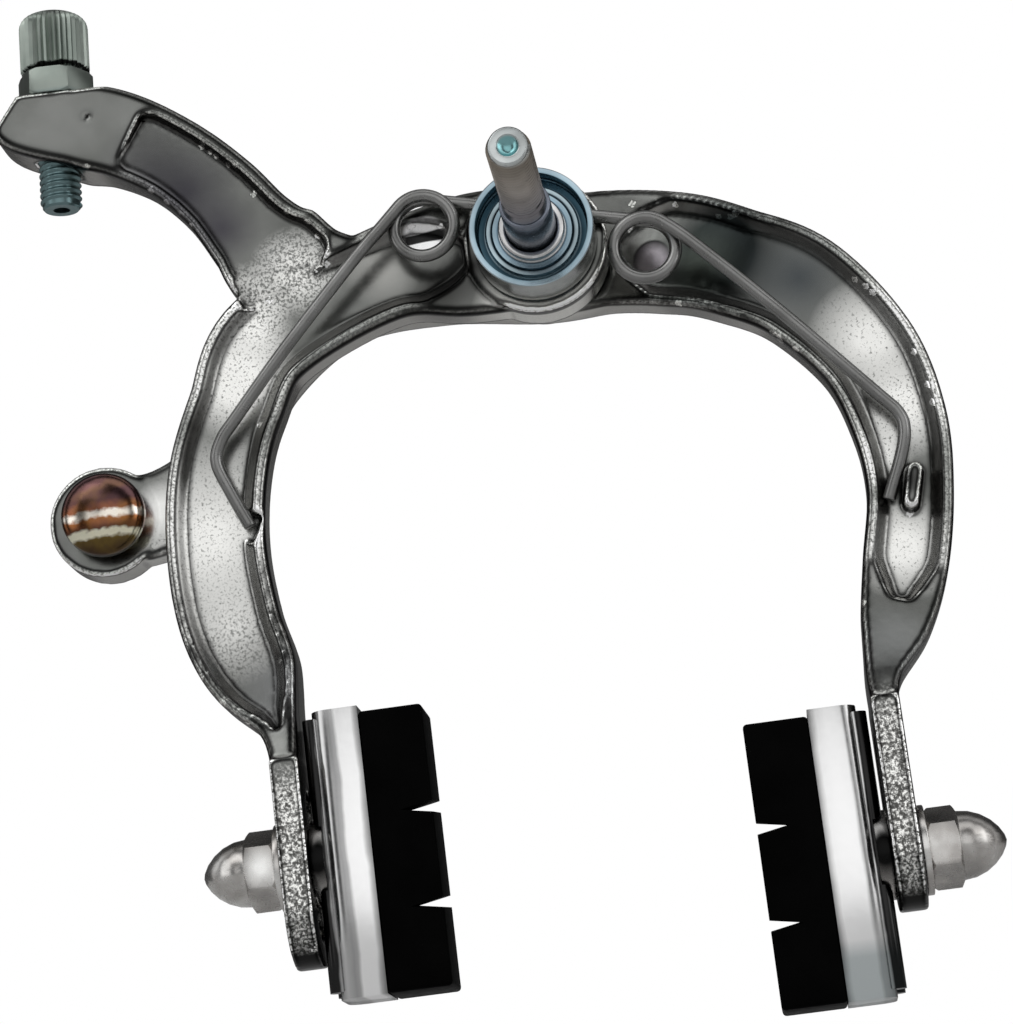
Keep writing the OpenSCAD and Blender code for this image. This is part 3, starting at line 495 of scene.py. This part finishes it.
# C arm: the second forging, in front of the first. It goes from the cable anchor's lug past the
# hub, steps back beside the hub, and bows round the tyre to the right lug. A cast post on its web
# holds the spring's right end.
right_lug_x = 38.3
right_lug_top = -70.4
right_slot_low = -91.6
right_stud_z = -90.6
bow_hub_d = 15.4
anchor_at = (-65.1, -29)
anchor_hole_d = 5.1
anchor_lug_d = 15.8
anchor_lug_x = anchor_at[0] - 0.6
anchor_lug_rear = 0.65
anchor_lug_front = 6.75
post_d = 2.1
post_from = (47, -39.9)
post_run = (-1.1, -4.2)
post_steps = 4
post_foot = -4.75
post_tip = -8.15
bow_path = [
    (anchor_at[0] - 1, anchor_at[1], 6.4, arm_y, arm_half), (-57, -28.4, 6.1, arm_y, arm_half),
    (-48.5, -22.5, 5.2, arm_y, arm_half), (-41, -10.8, 5, arm_y, arm_half),
    (-29, -2.4, 5, arm_y, arm_half), (-15, 0.3, 6.5, arm_y, arm_half),
    (0, 0.5, 8.6, arm_y, arm_half), (10, 0.4, 8.6, arm_y - 0.4, arm_half),
    (19.5, -2.4, 8.5, 0, arm_half), (27, -6.3, 8, -arm_y + 0.7, arm_half),
    (35.3, -11.4, 7.9, -arm_y, arm_half), (43, -21.5, 7.2, -arm_y, arm_half),
    (46, -32, 6.6, -arm_y, arm_half), (46.1, -42, 5.9, -arm_y, arm_half),
    (44, -52, 5.8, -arm_y, arm_half), (41.5, -60, 4.8, -arm_y, arm_half + 1.2),
    (38.9, -66.5, 2.6, -arm_y, lug_w / 2 - 1.6),
    (right_lug_x, -70.9, lug_t / 2 - 0.1, -arm_y, lug_w / 2 - 0.1),
    (right_lug_x, -73.4, lug_t / 2 - 0.1, -arm_y, lug_w / 2 - 0.1)]
c_arm = as_object(limb(bow_path), "c_arm_forging")
combine(c_arm, web(bow_path, 7.1, 14.6, 1.3, 1.3), "DIFFERENCE")
combine(c_arm, rod(bow_hub_d, (0, hub_in, 0), (0, hub_out, 0)), "UNION")
anchor_lug = rod(anchor_lug_d, (anchor_lug_x, anchor_lug_rear, anchor_at[1]),
                 (anchor_lug_x, anchor_lug_front, anchor_at[1]))
combine(c_arm, anchor_lug, "UNION")
combine(c_arm, lug(right_lug_x, right_slot_low, right_lug_top), "UNION")
for k in range(post_steps + 1):
    x, z = (start + run * k / post_steps for start, run in zip(post_from, post_run))
    combine(c_arm, rod(post_d, (x, post_foot, z), (x, post_tip, z), 24), "UNION")
combine(c_arm, rod(bolt_hole_d, (0, -1, 0), (0, hub_out + 1, 0)), "DIFFERENCE")
anchor_hole = rod(anchor_hole_d, (anchor_at[0], 0, anchor_at[1]), (anchor_at[0], hub_out + 1, anchor_at[1]))
combine(c_arm, anchor_hole, "DIFFERENCE")
forge(c_arm)
dress(c_arm, alloy, "c_arm_body", "forged_alloy", "c_arm")

# Pivot bolt: turned steel, 6 mm thick, with a thicker shoulder that bears in the seat. Its long end
# goes through the frame, and its tip keeps the lathe's centre hole.
seat_rear = -14.1
seat_front = -7.8
cup_floor = -11.3
seat_washer_rear = -12.4
shoulder_rear = -23.5
bolt_rear = -46.5
bolt_front = 18.1
bolt_r = 3
thread_root = 2.65
thread_pitch = 1
shoulder_d = 7.0
y_up = Matrix.Rotation(math.radians(-90), 4, "X")


def turned(profile, place=y_up, steps=96):
    """A body turned on the lathe from a profile of (radius, height)."""
    bm = bmesh.new()
    verts = [bm.verts.new((r * MM, 0, h * MM)) for r, h in profile]
    ends = list(zip(verts, verts[1:])) + ([(verts[-1], verts[0])] if profile[0][0] > 0 else [])
    edges = [bm.edges.new(pair) for pair in ends]
    bmesh.ops.spin(bm, geom=verts + edges, cent=(0, 0, 0), axis=(0, 0, 1), angle=2 * math.pi, steps=steps,
                   use_merge=True)
    bmesh.ops.remove_doubles(bm, verts=bm.verts, dist=1e-7)
    bmesh.ops.recalc_face_normals(bm, faces=bm.faces)
    bmesh.ops.transform(bm, verts=bm.verts, matrix=place)
    return bm


def soften(bm, width, angle=30, segments=2):
    """Rounds a body's sharp edges."""
    sharp = [e for e in bm.edges if e.is_manifold and e.calc_face_angle() > math.radians(angle)]
    bmesh.ops.bevel(bm, geom=sharp, offset=width * MM, offset_type="OFFSET", segments=segments, profile=0.5,
                    affect="EDGES", material=-1, clamp_overlap=True)
    return bm


def ready(bm, name, angle=35):
    """A body's object, shaded smooth up to an angle."""
    for face in bm.faces:
        face.smooth = True
    made = as_object(bm, name)
    made.data.set_sharp_from_angle(angle=math.radians(angle))
    return made


def ridge(bm, r, start, end, pitch, depth, place=y_up, steps=32):
    """Winds a screw thread's ridge round a rod that stands on the lathe's axis."""
    turns = round((end - start) / pitch)
    tool = bmesh.new()
    half = 0.46 * pitch
    crest = 0.06 * pitch
    root = r - 0.05
    corners = [tool.verts.new((x * MM, 0, (start + z) * MM))
               for x, z in ((root, -half), (r + depth, -crest), (r + depth, crest), (root, half))]
    face = tool.faces.new(corners)
    bmesh.ops.spin(tool, geom=[face, *face.edges, *face.verts], cent=(0, 0, 0), axis=(0, 0, 1),
                   dvec=(0, 0, pitch / steps * MM), angle=2 * math.pi * turns, steps=steps * turns,
                   use_duplicate=False)
    bmesh.ops.recalc_face_normals(tool, faces=tool.faces)
    bmesh.ops.transform(tool, verts=tool.verts, matrix=place)
    mesh = bpy.data.meshes.new("ridge")
    tool.to_mesh(mesh)
    tool.free()
    bm.from_mesh(mesh)
    bpy.data.meshes.remove(mesh)


bolt = turned([(0, bolt_rear + 2), (1.5, bolt_rear), (2.4, bolt_rear), (thread_root, bolt_rear + 0.3),
               (thread_root, shoulder_rear - 3), (bolt_r, shoulder_rear - 2.6), (bolt_r, shoulder_rear),
               (shoulder_d / 2 - 0.2, shoulder_rear), (shoulder_d / 2, shoulder_rear + 0.2),
               (shoulder_d / 2, seat_washer_rear), (bolt_r, seat_washer_rear), (bolt_r, bolt_front - 0.8),
               (2.2, bolt_front), (0, bolt_front)])
soften(bolt, 0.08)
ridge(bolt, thread_root, bolt_rear + 1, shoulder_rear - 3.5, thread_pitch, 0.33)
bolt = ready(bolt, "pivot_bolt", 25)

bolt_steel, tree, shader, where, fine, coarse = finish_start("bolt_steel")
along_bolt = add_node(tree, "ShaderNodeSeparateXYZ", {0: (where, "Object")})
down = add_node(tree, "ShaderNodeMapRange", {"Value": (along_bolt, "Y"), "From Min": bolt_rear * MM,
                                             "From Max": seat_washer_rear * MM})
plating = ramp(tree, (down, 0), [(0.0, (0.85, 0.9, 0.9)), (0.02, (0.8, 0.82, 0.8)),
                                 (0.03, (0.34, 0.30, 0.25)), (0.3, (0.5, 0.46, 0.42)),
                                 (0.62, (0.36, 0.35, 0.38)), (0.68, (0.34, 0.38, 0.46))])
stains = ramp(tree, (coarse, "Fac"), [(0.35, 0.5), (0.65, 0.8)])
stained = mixed(tree, 1.0, (plating, "Color"), (stains, "Color"), "MULTIPLY")
drilled = spot_at(tree, where, (0, bolt_rear + 1, 0), 1.4, 1.8)
centre_hole = mixed(tree, (drilled, 0), (stained, 2), (0.25, 0.5, 0.52, 1))
tree.links.new(centre_hole.outputs[2], shader.inputs["Base Color"])
uneven(tree, shader, (0.16, 0.32), fine, 0.06, 0.1)
dress(bolt, bolt_steel, "pivot_stack", "bolt_steel", "centre_bolt")

# Spring seat: a turned cup of blue zinc-plated steel with a slot for the spring across its front.
# A stepped washer and a short bush lie in it, round the bolt's shoulder.
seat_d = 17.2
seat_rim = 0.8
bore_r = 3.04
seat_washer_r = 6.6
bush_r = 4.6
bush_bore_r = shoulder_d / 2 + 0.04
wire_d = 1.8
slot_half = wire_d / 2 + 0.15
spring_tilt = math.radians(14.5)
coil_r = 4.25
coil_drop = 0.2
seat_r = seat_d / 2
cup_r = seat_r - seat_rim
seat = ready(turned([(bore_r, cup_floor), (cup_r - 0.3, cup_floor), (cup_r, cup_floor - 0.3),
                     (cup_r, seat_rear), (seat_r - 0.15, seat_rear), (seat_r, seat_rear + 0.15),
                     (seat_r, seat_front), (bore_r, seat_front)], steps=128), "seat_cup")
slot_z = coil_r - coil_drop
slot_tool = block((-20, seat_front - 2 * slot_half, slot_z - slot_half),
                  (20, seat_front + 1, slot_z + slot_half))
bmesh.ops.transform(slot_tool, verts=slot_tool.verts, matrix=Matrix.Rotation(spring_tilt, 4, "Y"))
combine(seat, slot_tool, "DIFFERENCE")
seat.data.set_sharp_from_angle(angle=math.radians(35))
seat_ring = ready(turned([(bore_r, seat_washer_rear), (5.5, seat_washer_rear),
                          (5.8, seat_washer_rear + 0.3), (6.35, seat_washer_rear + 0.3),
                          (seat_washer_r, seat_washer_rear + 0.55), (seat_washer_r, cup_floor),
                          (bore_r, cup_floor)], steps=128), "seat_washer_ring")
bush = ready(soften(turned([(shoulder_d / 2 + 0.3, seat_rear), (bush_r - 0.25, seat_rear),
                            (bush_r, seat_rear + 0.25), (bush_r, seat_washer_rear),
                            (bush_bore_r, seat_washer_rear), (bush_bore_r, seat_rear + 0.26)],
                           steps=128), 0.05), "seat_bush_ring")

zinc, tree, shader, where, fine, coarse = finish_start("blue_zinc")
edge = add_node(tree, "ShaderNodeNewGeometry")
flat_place = add_node(tree, "ShaderNodeVectorMath", {0: (where, "Object"), 1: (1, 0, 1)},
                      operation="MULTIPLY")
radius = add_node(tree, "ShaderNodeVectorMath", {0: (flat_place, 0)}, operation="LENGTH")
ringed = add_node(tree, "ShaderNodeMapRange", {"Value": (radius, "Value"), "From Max": 10 * MM})
# The plating's blue rings by radius, with a painted highlight round the bush's edge and painted shade in the
# gaps and grooves between the rings.
ring_tones_and_light = ramp(tree, (ringed, 0), [
    (0.352, (0.04, 0.06, 0.09)), (0.37, (1, 1, 1)), (0.46, (1, 1, 1)), (0.475, (0.05, 0.10, 0.14)),
    (0.50, (0.33, 0.46, 0.55)), (0.55, (0.42, 0.56, 0.64)), (0.575, (0.04, 0.09, 0.12)),
    (0.60, (0.55, 0.68, 0.74)), (0.65, (0.5, 0.64, 0.7)), (0.68, (0.03, 0.07, 0.10)),
    (0.75, (0.10, 0.20, 0.26)), (0.80, (0.40, 0.54, 0.62)), (0.85, (0.46, 0.58, 0.66)),
    (0.862, (0.30, 0.29, 0.26))])
stain = ramp(tree, (coarse, "Fac"), [(0.35, 0.5), (0.65, 0.85)])
stained = mixed(tree, 1.0, (ring_tones_and_light, "Color"), (stain, "Color"), "MULTIPLY")
# Painted shade in hollow corners and painted highlights on sharp edges.
zinc_edge_light_and_shade = ramp(tree, (edge, "Pointiness"), [(0.45, 0.5), (0.5, 1.0), (0.58, 1.5)])
plated = mixed(tree, 1.0, (stained, 2), (zinc_edge_light_and_shade, "Color"), "MULTIPLY")
tree.links.new(plated.outputs[2], shader.inputs["Base Color"])
uneven(tree, shader, (0.14, 0.28), fine, 0.05, 0.1)
for piece, node in ((seat, "spring_seat"), (seat_ring, "seat_washer"), (bush, "seat_bush")):
    dress(piece, zinc, "pivot_stack", "blue_zinc", node)

# Return spring: one length of hard-drawn steel wire. Its straight middle lies in the seat's slot, and
# a coil on each side of the bolt leads to a leg that pushes an arm open.
spring_y = seat_front - 0.15 - wire_d / 2
coil_x = 15.5
coil_pitch = wire_d + 0.1
wire_sides = 16
coil_top = 90 - math.degrees(spring_tilt)
left_leave = 133
right_leave = 45
left_leg = [(catch_x, rim_y + 0.3, catch_z), (-46.2, rim_y - 0.3, -29.4), (-47.6, rim_y - 0.9, -25.2),
            (-46.6, rim_y - 1.3, -22.2), (-44.2, rim_y - 1.7, -19.4), (-36.2, rim_y - 2.6, -10.7),
            (-25.6, rim_y - 3.6, -0.1), (-20.6, rim_y - 4.1, 4.4)]
right_leg = [(21.4, rim_y - 4.1, -4.3), (31.7, rim_y - 3, -15.3), (43.5, rim_y - 1.6, -28.8),
             (46, rim_y - 1.3, -31.9), (46.4, rim_y - 1.1, -34.4), (45.5, rim_y - 0.6, -37.6),
             (43, rim_y + 0.1, -43.3)]


def coil(side, start, sweep, n=64):
    """One coil's points, clockwise from an angle; the wire climbs a pitch towards the frame with
    each turn."""
    middle = Vector((side * coil_x * math.cos(spring_tilt) - coil_drop * math.sin(spring_tilt), 0,
                     -side * coil_x * math.sin(spring_tilt) - coil_drop * math.cos(spring_tilt)))
    points = []
    for k in range(n + 1):
        turn = sweep * k / n
        lift = (sweep - turn if side < 0 else turn) / 360 * coil_pitch
        a = math.radians(start - turn)
        points.append(middle + Vector((coil_r * math.cos(a), spring_y - lift, coil_r * math.sin(a))))
    return points


left_coil = coil(-1, left_leave, 360 + left_leave - coil_top)
right_coil = coil(1, coil_top, 360 + coil_top - right_leave)
wire_middle = (left_coil[-1] + right_coil[0]) / 2
left_wire = smoothed(left_leg + [left_coil[0]], 8)[:-1] + left_coil + [wire_middle]
right_wire = [wire_middle] + right_coil + smoothed([right_coil[-1]] + right_leg, 8)[1:]

wire_steel, tree, shader, where, fine, coarse = finish_start("drawn_wire")
drawn = ramp(tree, (coarse, "Fac"), [(0.35, (0.2, 0.2, 0.195)), (0.65, (0.29, 0.29, 0.285))])
tree.links.new(drawn.outputs[0], shader.inputs["Base Color"])
uneven(tree, shader, (0.2, 0.38), fine, 0.1, 0.1)
# Each half of the wire runs from the pivot to the arm that its leg pushes, and is fixed in place.
for side, line, arm, root, tip in (("left", left_wire, "y_arm_body", (-22, -9, 3), (-46.6, -9, -22)),
                                   ("right", right_wire, "c_arm_body", (22, -9, -5), (46, -9, -32))):
    rings = []
    for i, point in enumerate(line):
        run = (line[min(i + 1, len(line) - 1)] - line[max(i - 1, 0)]).normalized()
        u = run.cross(Vector((0, 1, 0))).normalized()
        v = run.cross(u)
        rings.append([point + wire_d / 2 * (u * math.cos(a) - v * math.sin(a))
                      for a in (2 * math.pi * k / wire_sides for k in range(wire_sides))])
    wire = ready(soften(through(rings), 0.15, 60), f"spring_wire_{side}", 60)
    bend = ("pivot_stack", arm, Vector(root) * MM, Vector(tip) * MM)
    dress(wire, wire_steel, bend, "spring_steel", "return_spring")

# Pivot washers and nuts: three thin steel washers beside the hubs, the nut that sets the arms' play,
# and the domed nut that locks it. All are nickel-plated, and the nuts stand in front of the arms.


def from_solid(node, name, width=0.12, angle=30):
    """A CAD solid's own shape with its doubled points merged and its edges broken."""
    bm = bmesh.new()
    bm.from_mesh(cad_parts[node].data)
    bmesh.ops.remove_doubles(bm, verts=bm.verts, dist=2e-6)
    bmesh.ops.dissolve_limit(bm, angle_limit=math.radians(1), verts=bm.verts, edges=bm.edges)
    return ready(soften(bm, width, angle), name)


nickel, tree, shader, where, fine, coarse = finish_start("nickel_plate")
plate_tone = ramp(tree, (coarse, "Fac"), [(0.35, (0.33, 0.32, 0.31)), (0.5, (0.48, 0.46, 0.44)),
                                          (0.65, (0.8, 0.79, 0.77))])
# A painted highlight on one facet of the left pad's nut.
facet_highlight = spot_at(tree, where, (-47.2, -8.6, -82), 0.6, 3.2)
lit_and_shaded_nickel = mixed(tree, (facet_highlight, 0), (plate_tone, "Color"), (1, 1, 0.98, 1))
# The rings between lug and holder are painted black: painted shade in the gap.
for centre in ((-39.2, -7, left_stud_z), (35.4, -7, right_stud_z)):
    gap_shade = spot_at(tree, where, centre, 3, 4.8)
    lit_and_shaded_nickel = mixed(tree, (gap_shade, 0), (lit_and_shaded_nickel, 2), (0.01, 0.01, 0.01, 1))
tree.links.new(lit_and_shaded_nickel.outputs[2], shader.inputs["Base Color"])
uneven(tree, shader, (0.2, 0.34), fine, 0.06, 0.1)
for node in ("rear_washer", "middle_washer", "front_washer"):
    dress(from_solid(node, node + "_plated", 0.1), nickel, "pivot_stack", "nickel", node)
for node in ("adjusting_nut", "front_cap_nut"):
    dress(from_solid(node, node + "_plated"), nickel, "pivot_stack", "nickel", node)

# Cable adjuster: an anodised alloy barrel, bored through for the cable, with a finely knurled cap that
# takes the housing's end. Its lock nut rests on the upper limb's tip.
cap_d = 10.0
cap_t = 8.8
cap_round = 1.8
locknut_t = 3.9
locknut_gap = 0.3
thread_low = -16.5
socket_d = 5.4
socket_depth = 6.0
cap_low = locknut_t + locknut_gap
cap_top = cap_low + cap_t
cable_way_r = 1.2
barrel_root = 2.7
knurls = 38
knurl_depth = 0.36
crown = [(cap_d / 2 - cap_round + cap_round * math.cos(a), cap_top - cap_round + cap_round * math.sin(a))
         for a in (math.radians(18 * k) for k in range(6))]
barrel = turned([(cable_way_r, thread_low), (2.45, thread_low), (barrel_root, thread_low + 0.3),
                 (barrel_root, cap_low), (cap_d / 2 - 0.5, cap_low), (cap_d / 2, cap_low + 0.5), *crown,
                 (socket_d / 2 + 0.3, cap_top), (socket_d / 2, cap_top - 0.3),
                 (socket_d / 2, cap_top - socket_depth), (cable_way_r, cap_top - socket_depth)],
                Matrix(), knurls * 2)
for v in barrel.verts:
    sideways = math.hypot(v.co.x, v.co.y)
    column = round(math.atan2(v.co.y, v.co.x) / (math.pi / knurls)) % 2
    if column and sideways > (cap_d / 2 - cap_round + 0.6) * MM:
        v.co.xy *= 1 - knurl_depth * MM / sideways
bmesh.ops.transform(barrel, verts=barrel.verts, matrix=seat_place)
ridge(barrel, barrel_root, thread_low + 0.6, locknut_gap - 1.2, thread_pitch, 0.3, seat_place)
barrel = ready(barrel, "adjuster_barrel_turned", 25)

anodised, tree, shader, where, fine, coarse = finish_start("anodised_alloy")
grey_green = ramp(tree, (coarse, "Fac"), [(0.35, (0.27, 0.31, 0.28)), (0.65, (0.37, 0.41, 0.375))])
height = add_node(tree, "ShaderNodeSeparateXYZ", {0: (where, "Object")})
# A painted shadow round the cap's lower end, ragged at its edges.
ragged = add_node(tree, "ShaderNodeMath", {0: (fine, "Fac"), 1: 1.2 * MM, 2: (height, "Z")},
                  operation="MULTIPLY_ADD")
level_band = add_node(tree, "ShaderNodeMapRange", {0: (ragged, 0), 1: 30 * MM, 2: 50 * MM})
gap_shadow = ramp(tree, (level_band, 0), [(0.395, 1.0), (0.405, 0.04), (0.43, 0.04), (0.44, 1.0)])
shaded_green = mixed(tree, 1.0, (grey_green, "Color"), (gap_shadow, "Color"), "MULTIPLY")
teal = add_node(tree, "ShaderNodeMapRange", {0: (height, "Z"), 1: 32.5 * MM, 2: 34 * MM})
barrel_tone = mixed(tree, (teal, 0), (0.16, 0.24, 0.25, 1), (shaded_green, 2))
tree.links.new(barrel_tone.outputs[2], shader.inputs["Base Color"])
uneven(tree, shader, (0.24, 0.4), fine, 0.1, 0.1)
dress(barrel, anodised, "adjuster_body", "adjuster_alloy", "adjuster_barrel")
locknut = from_solid("adjuster_locknut", "adjuster_locknut_plated", 0.15)
dress(locknut, anodised, "y_arm_body", "adjuster_alloy", "adjuster_locknut")

# Cable anchor: a steel bolt in yellow chromate with a domed head and a cross hole for the cable, and
# behind the lug its washer and nut.
chromate, tree, shader, where, fine, coarse = finish_start("yellow_chromate")
iridescent = ramp(tree, (coarse, "Fac"), [(0.3, (0.16, 0.07, 0.06)), (0.42, (0.36, 0.17, 0.12)),
                                          (0.5, (0.6, 0.34, 0.12)), (0.56, (0.32, 0.17, 0.17)),
                                          (0.7, (0.24, 0.20, 0.24))])
# Bands up the head: chromate colours, two painted highlight stripes, and darker towards the bottom.
place_at = add_node(tree, "ShaderNodeSeparateXYZ", {0: (where, "Object")})
ragged = add_node(tree, "ShaderNodeMath", {0: (fine, "Fac"), 1: 1.4 * MM, 2: (place_at, "Z")},
                  operation="MULTIPLY_ADD")
level_band = add_node(tree, "ShaderNodeMapRange", {0: (ragged, 0), 1: -36 * MM, 2: -20 * MM})
bands_and_glints = ramp(tree, (level_band, 0), [
    (0.14, (0.02, 0.02, 0.01)), (0.24, (0.1, 0.08, 0.02)), (0.27, (1, 1, 0.8)), (0.305, (1, 1, 0.8)),
    (0.33, (0.1, 0.04, 0.02)), (0.41, (0.3, 0.11, 0.03)), (0.44, (1, 0.95, 0.85)), (0.47, (1, 0.95, 0.85)),
    (0.5, (0.25, 0.09, 0.04)), (0.58, (0.07, 0.035, 0.037)), (0.9, (0.11, 0.06, 0.07))])
chromate_with_glints = mixed(tree, 0.85, (iridescent, "Color"), (bands_and_glints, "Color"))
tree.links.new(chromate_with_glints.outputs[2], shader.inputs["Base Color"])
uneven(tree, shader, (0.12, 0.28), fine, 0.06, 0.1)
anchor = from_solid("anchor_bolt", "anchor_bolt_head", 0.2, 40)
dress(anchor, chromate, "anchor_body", "yellow_chromate", "anchor_bolt")
for node in ("anchor_washer", "anchor_nut"):
    dress(from_solid(node, node + "_plated", 0.1), nickel, "anchor_body", "nickel", node)

# Brake pads: a rubber block pressed into a drawn aluminium holder, on a stud that clamps through the
# lug's slot with a washer and an acorn nut.
pad_w = 10.5
pad_len = 38.8
holder_d = 6.5
rubber_out = 8.7
spacer_t = 1.9
pad_offset = 0.5
notch_pitch = 13.0
notch_mid = -0.8
notch_depth = 4.4
notch_mouth = 1.6
notch_slant = math.tan(math.radians(7))
notch_half = 7
past_face = 1.0
end_gap = 0.8
root_lap = 0.2
root_depth = 3
root_inset = 1.1

# Painted reflections run along the holder in bands, black beside the lug as painted shade: (place across,
# tone) from its left edge to its right.
reflection_bands = {"left": [(0.03, 0.03), (0.07, 0.4), (0.2, 0.62), (0.38, 0.42), (0.47, 0.5), (0.54, 1.0),
                        (0.86, 1.0), (0.93, 0.55), (1.0, 0.3)],
               "right": [(0.0, 0.3), (0.08, 0.7), (0.16, 1.0), (0.68, 1.0), (0.76, 0.6), (0.92, 0.5),
                         (0.96, 0.03)]}
sheet_finish = {}
for side, left_edge, foot_z in (("left", left_lug_x + lug_t / 2 + spacer_t, -100.6),
                                ("right", right_lug_x - lug_t / 2 - spacer_t - holder_d, -109.4)):
    # Each side has its own copy of the finish, for its own painted reflections.
    made, tree, shader, where, fine, coarse = finish_start(f"drawn_aluminium_{side}")
    spot = add_node(tree, "ShaderNodeSeparateXYZ", {0: (where, "Object")})
    across_it = add_node(tree, "ShaderNodeMapRange",
                         {0: (spot, "X"), 1: left_edge * MM, 2: (left_edge + holder_d) * MM, 3: 0.0, 4: 1.0})
    wavy = add_node(tree, "ShaderNodeMath", {0: (coarse, "Fac"), 1: 0.16, 2: (across_it, 0)},
                    operation="MULTIPLY_ADD")
    centred = add_node(tree, "ShaderNodeMath", {0: (wavy, 0), 1: 0.08}, operation="SUBTRACT")
    reflected_tone = ramp(tree, (centred, 0), reflection_bands[side])
    height = add_node(tree, "ShaderNodeMapRange",
                      {0: (spot, "Z"), 1: foot_z * MM, 2: (foot_z + pad_len) * MM, 3: 0.0, 4: 1.0})
    foot = ramp(tree, (height, 0), [(0.14, (0.5, 0.56, 0.57)), (0.2, (1, 1, 1))])
    footed = mixed(tree, 0.0 if side == "left" else 0.8, (reflected_tone, "Color"), (foot, "Color"), "MULTIPLY")
    tree.links.new(footed.outputs[2], shader.inputs["Base Color"])
    uneven(tree, shader, (0.14, 0.26), fine, 0.05, 0.1)
    sheet_finish[side] = made

rubber, tree, shader, where, fine, coarse = finish_start("black_rubber", 0.0)
dusty = ramp(tree, (coarse, "Fac"), [(0.35, (0.0006, 0.0006, 0.0006)), (0.65, (0.0015, 0.0015, 0.0015))])
tree.links.new(dusty.outputs[0], shader.inputs["Base Color"])
shader.inputs["Specular IOR Level"].default_value = 0.02
uneven(tree, shader, (0.4, 0.6), fine, 0.2, 0.2)

for side, inner_face, stud_z, way in (("left", left_lug_x + lug_t / 2, left_stud_z, 1),
                                      ("right", right_lug_x - lug_t / 2, right_stud_z, -1)):
    lip = inner_face + way * (spacer_t + holder_d)
    face = lip + way * rubber_out
    low, high = stud_z + pad_offset - pad_len / 2, stud_z + pad_offset + pad_len / 2 - end_gap
    rear, front = -arm_y - pad_w / 2, -arm_y + pad_w / 2
    outside = block((min(lip, face), rear, low), (max(lip, face), front, high))
    pad = as_object(soften(outside, 0.55, 60, 3), f"{side}_rubber_block")
    from_x, to_x = sorted((lip + way * root_lap, lip - way * root_depth))
    root = block((from_x, rear + root_inset, low + root_inset), (to_x, front - root_inset, high - 0.4))
    combine(pad, root, "UNION")
    for at in (-notch_pitch / 2, notch_pitch / 2):
        z = stud_z + notch_mid + at
        wedge = bmesh.new()
        apex = face - way * notch_depth
        mouth = face + way * past_face
        opening = notch_mouth / 2 * (1 + past_face / notch_depth)
        start_z = z - notch_half * notch_slant
        rim = [wedge.verts.new(Vector((x, -arm_y - notch_half, h)) * MM)
               for x, h in ((apex, start_z), (mouth, start_z + opening), (mouth, start_z - opening))]
        end = bmesh.ops.extrude_face_region(wedge, geom=[wedge.faces.new(rim)])["geom"]
        bmesh.ops.translate(wedge, verts=[v for v in end if isinstance(v, bmesh.types.BMVert)],
                            vec=Vector((0, 2 * notch_half, 2 * notch_half * notch_slant)) * MM)
        bmesh.ops.recalc_face_normals(wedge, faces=wedge.faces)
        combine(pad, wedge, "DIFFERENCE")
    pad = ready(as_body(pad), f"{side}_rubber_block")
    dress(pad, rubber, f"{side}_pad", "rubber", f"{side}_pad_rubber")
    node = f"{side}_pad_holder"
    shell = from_solid(node, node + "_pressed", 0.25)
    dress(shell, sheet_finish[side], f"{side}_pad", "pressed_alloy", node)
    node = f"{side}_pad_stud"
    dress(from_solid(node, node + "_turned", 0.1), nickel, f"{side}_pad", "nickel", node)
    for part in ("spacer", "washer", "nut"):
        node = f"{side}_pad_{part}"
        dress(from_solid(node, node + "_plated", 0.15), nickel, f"{side}_fixing", "nickel", node)
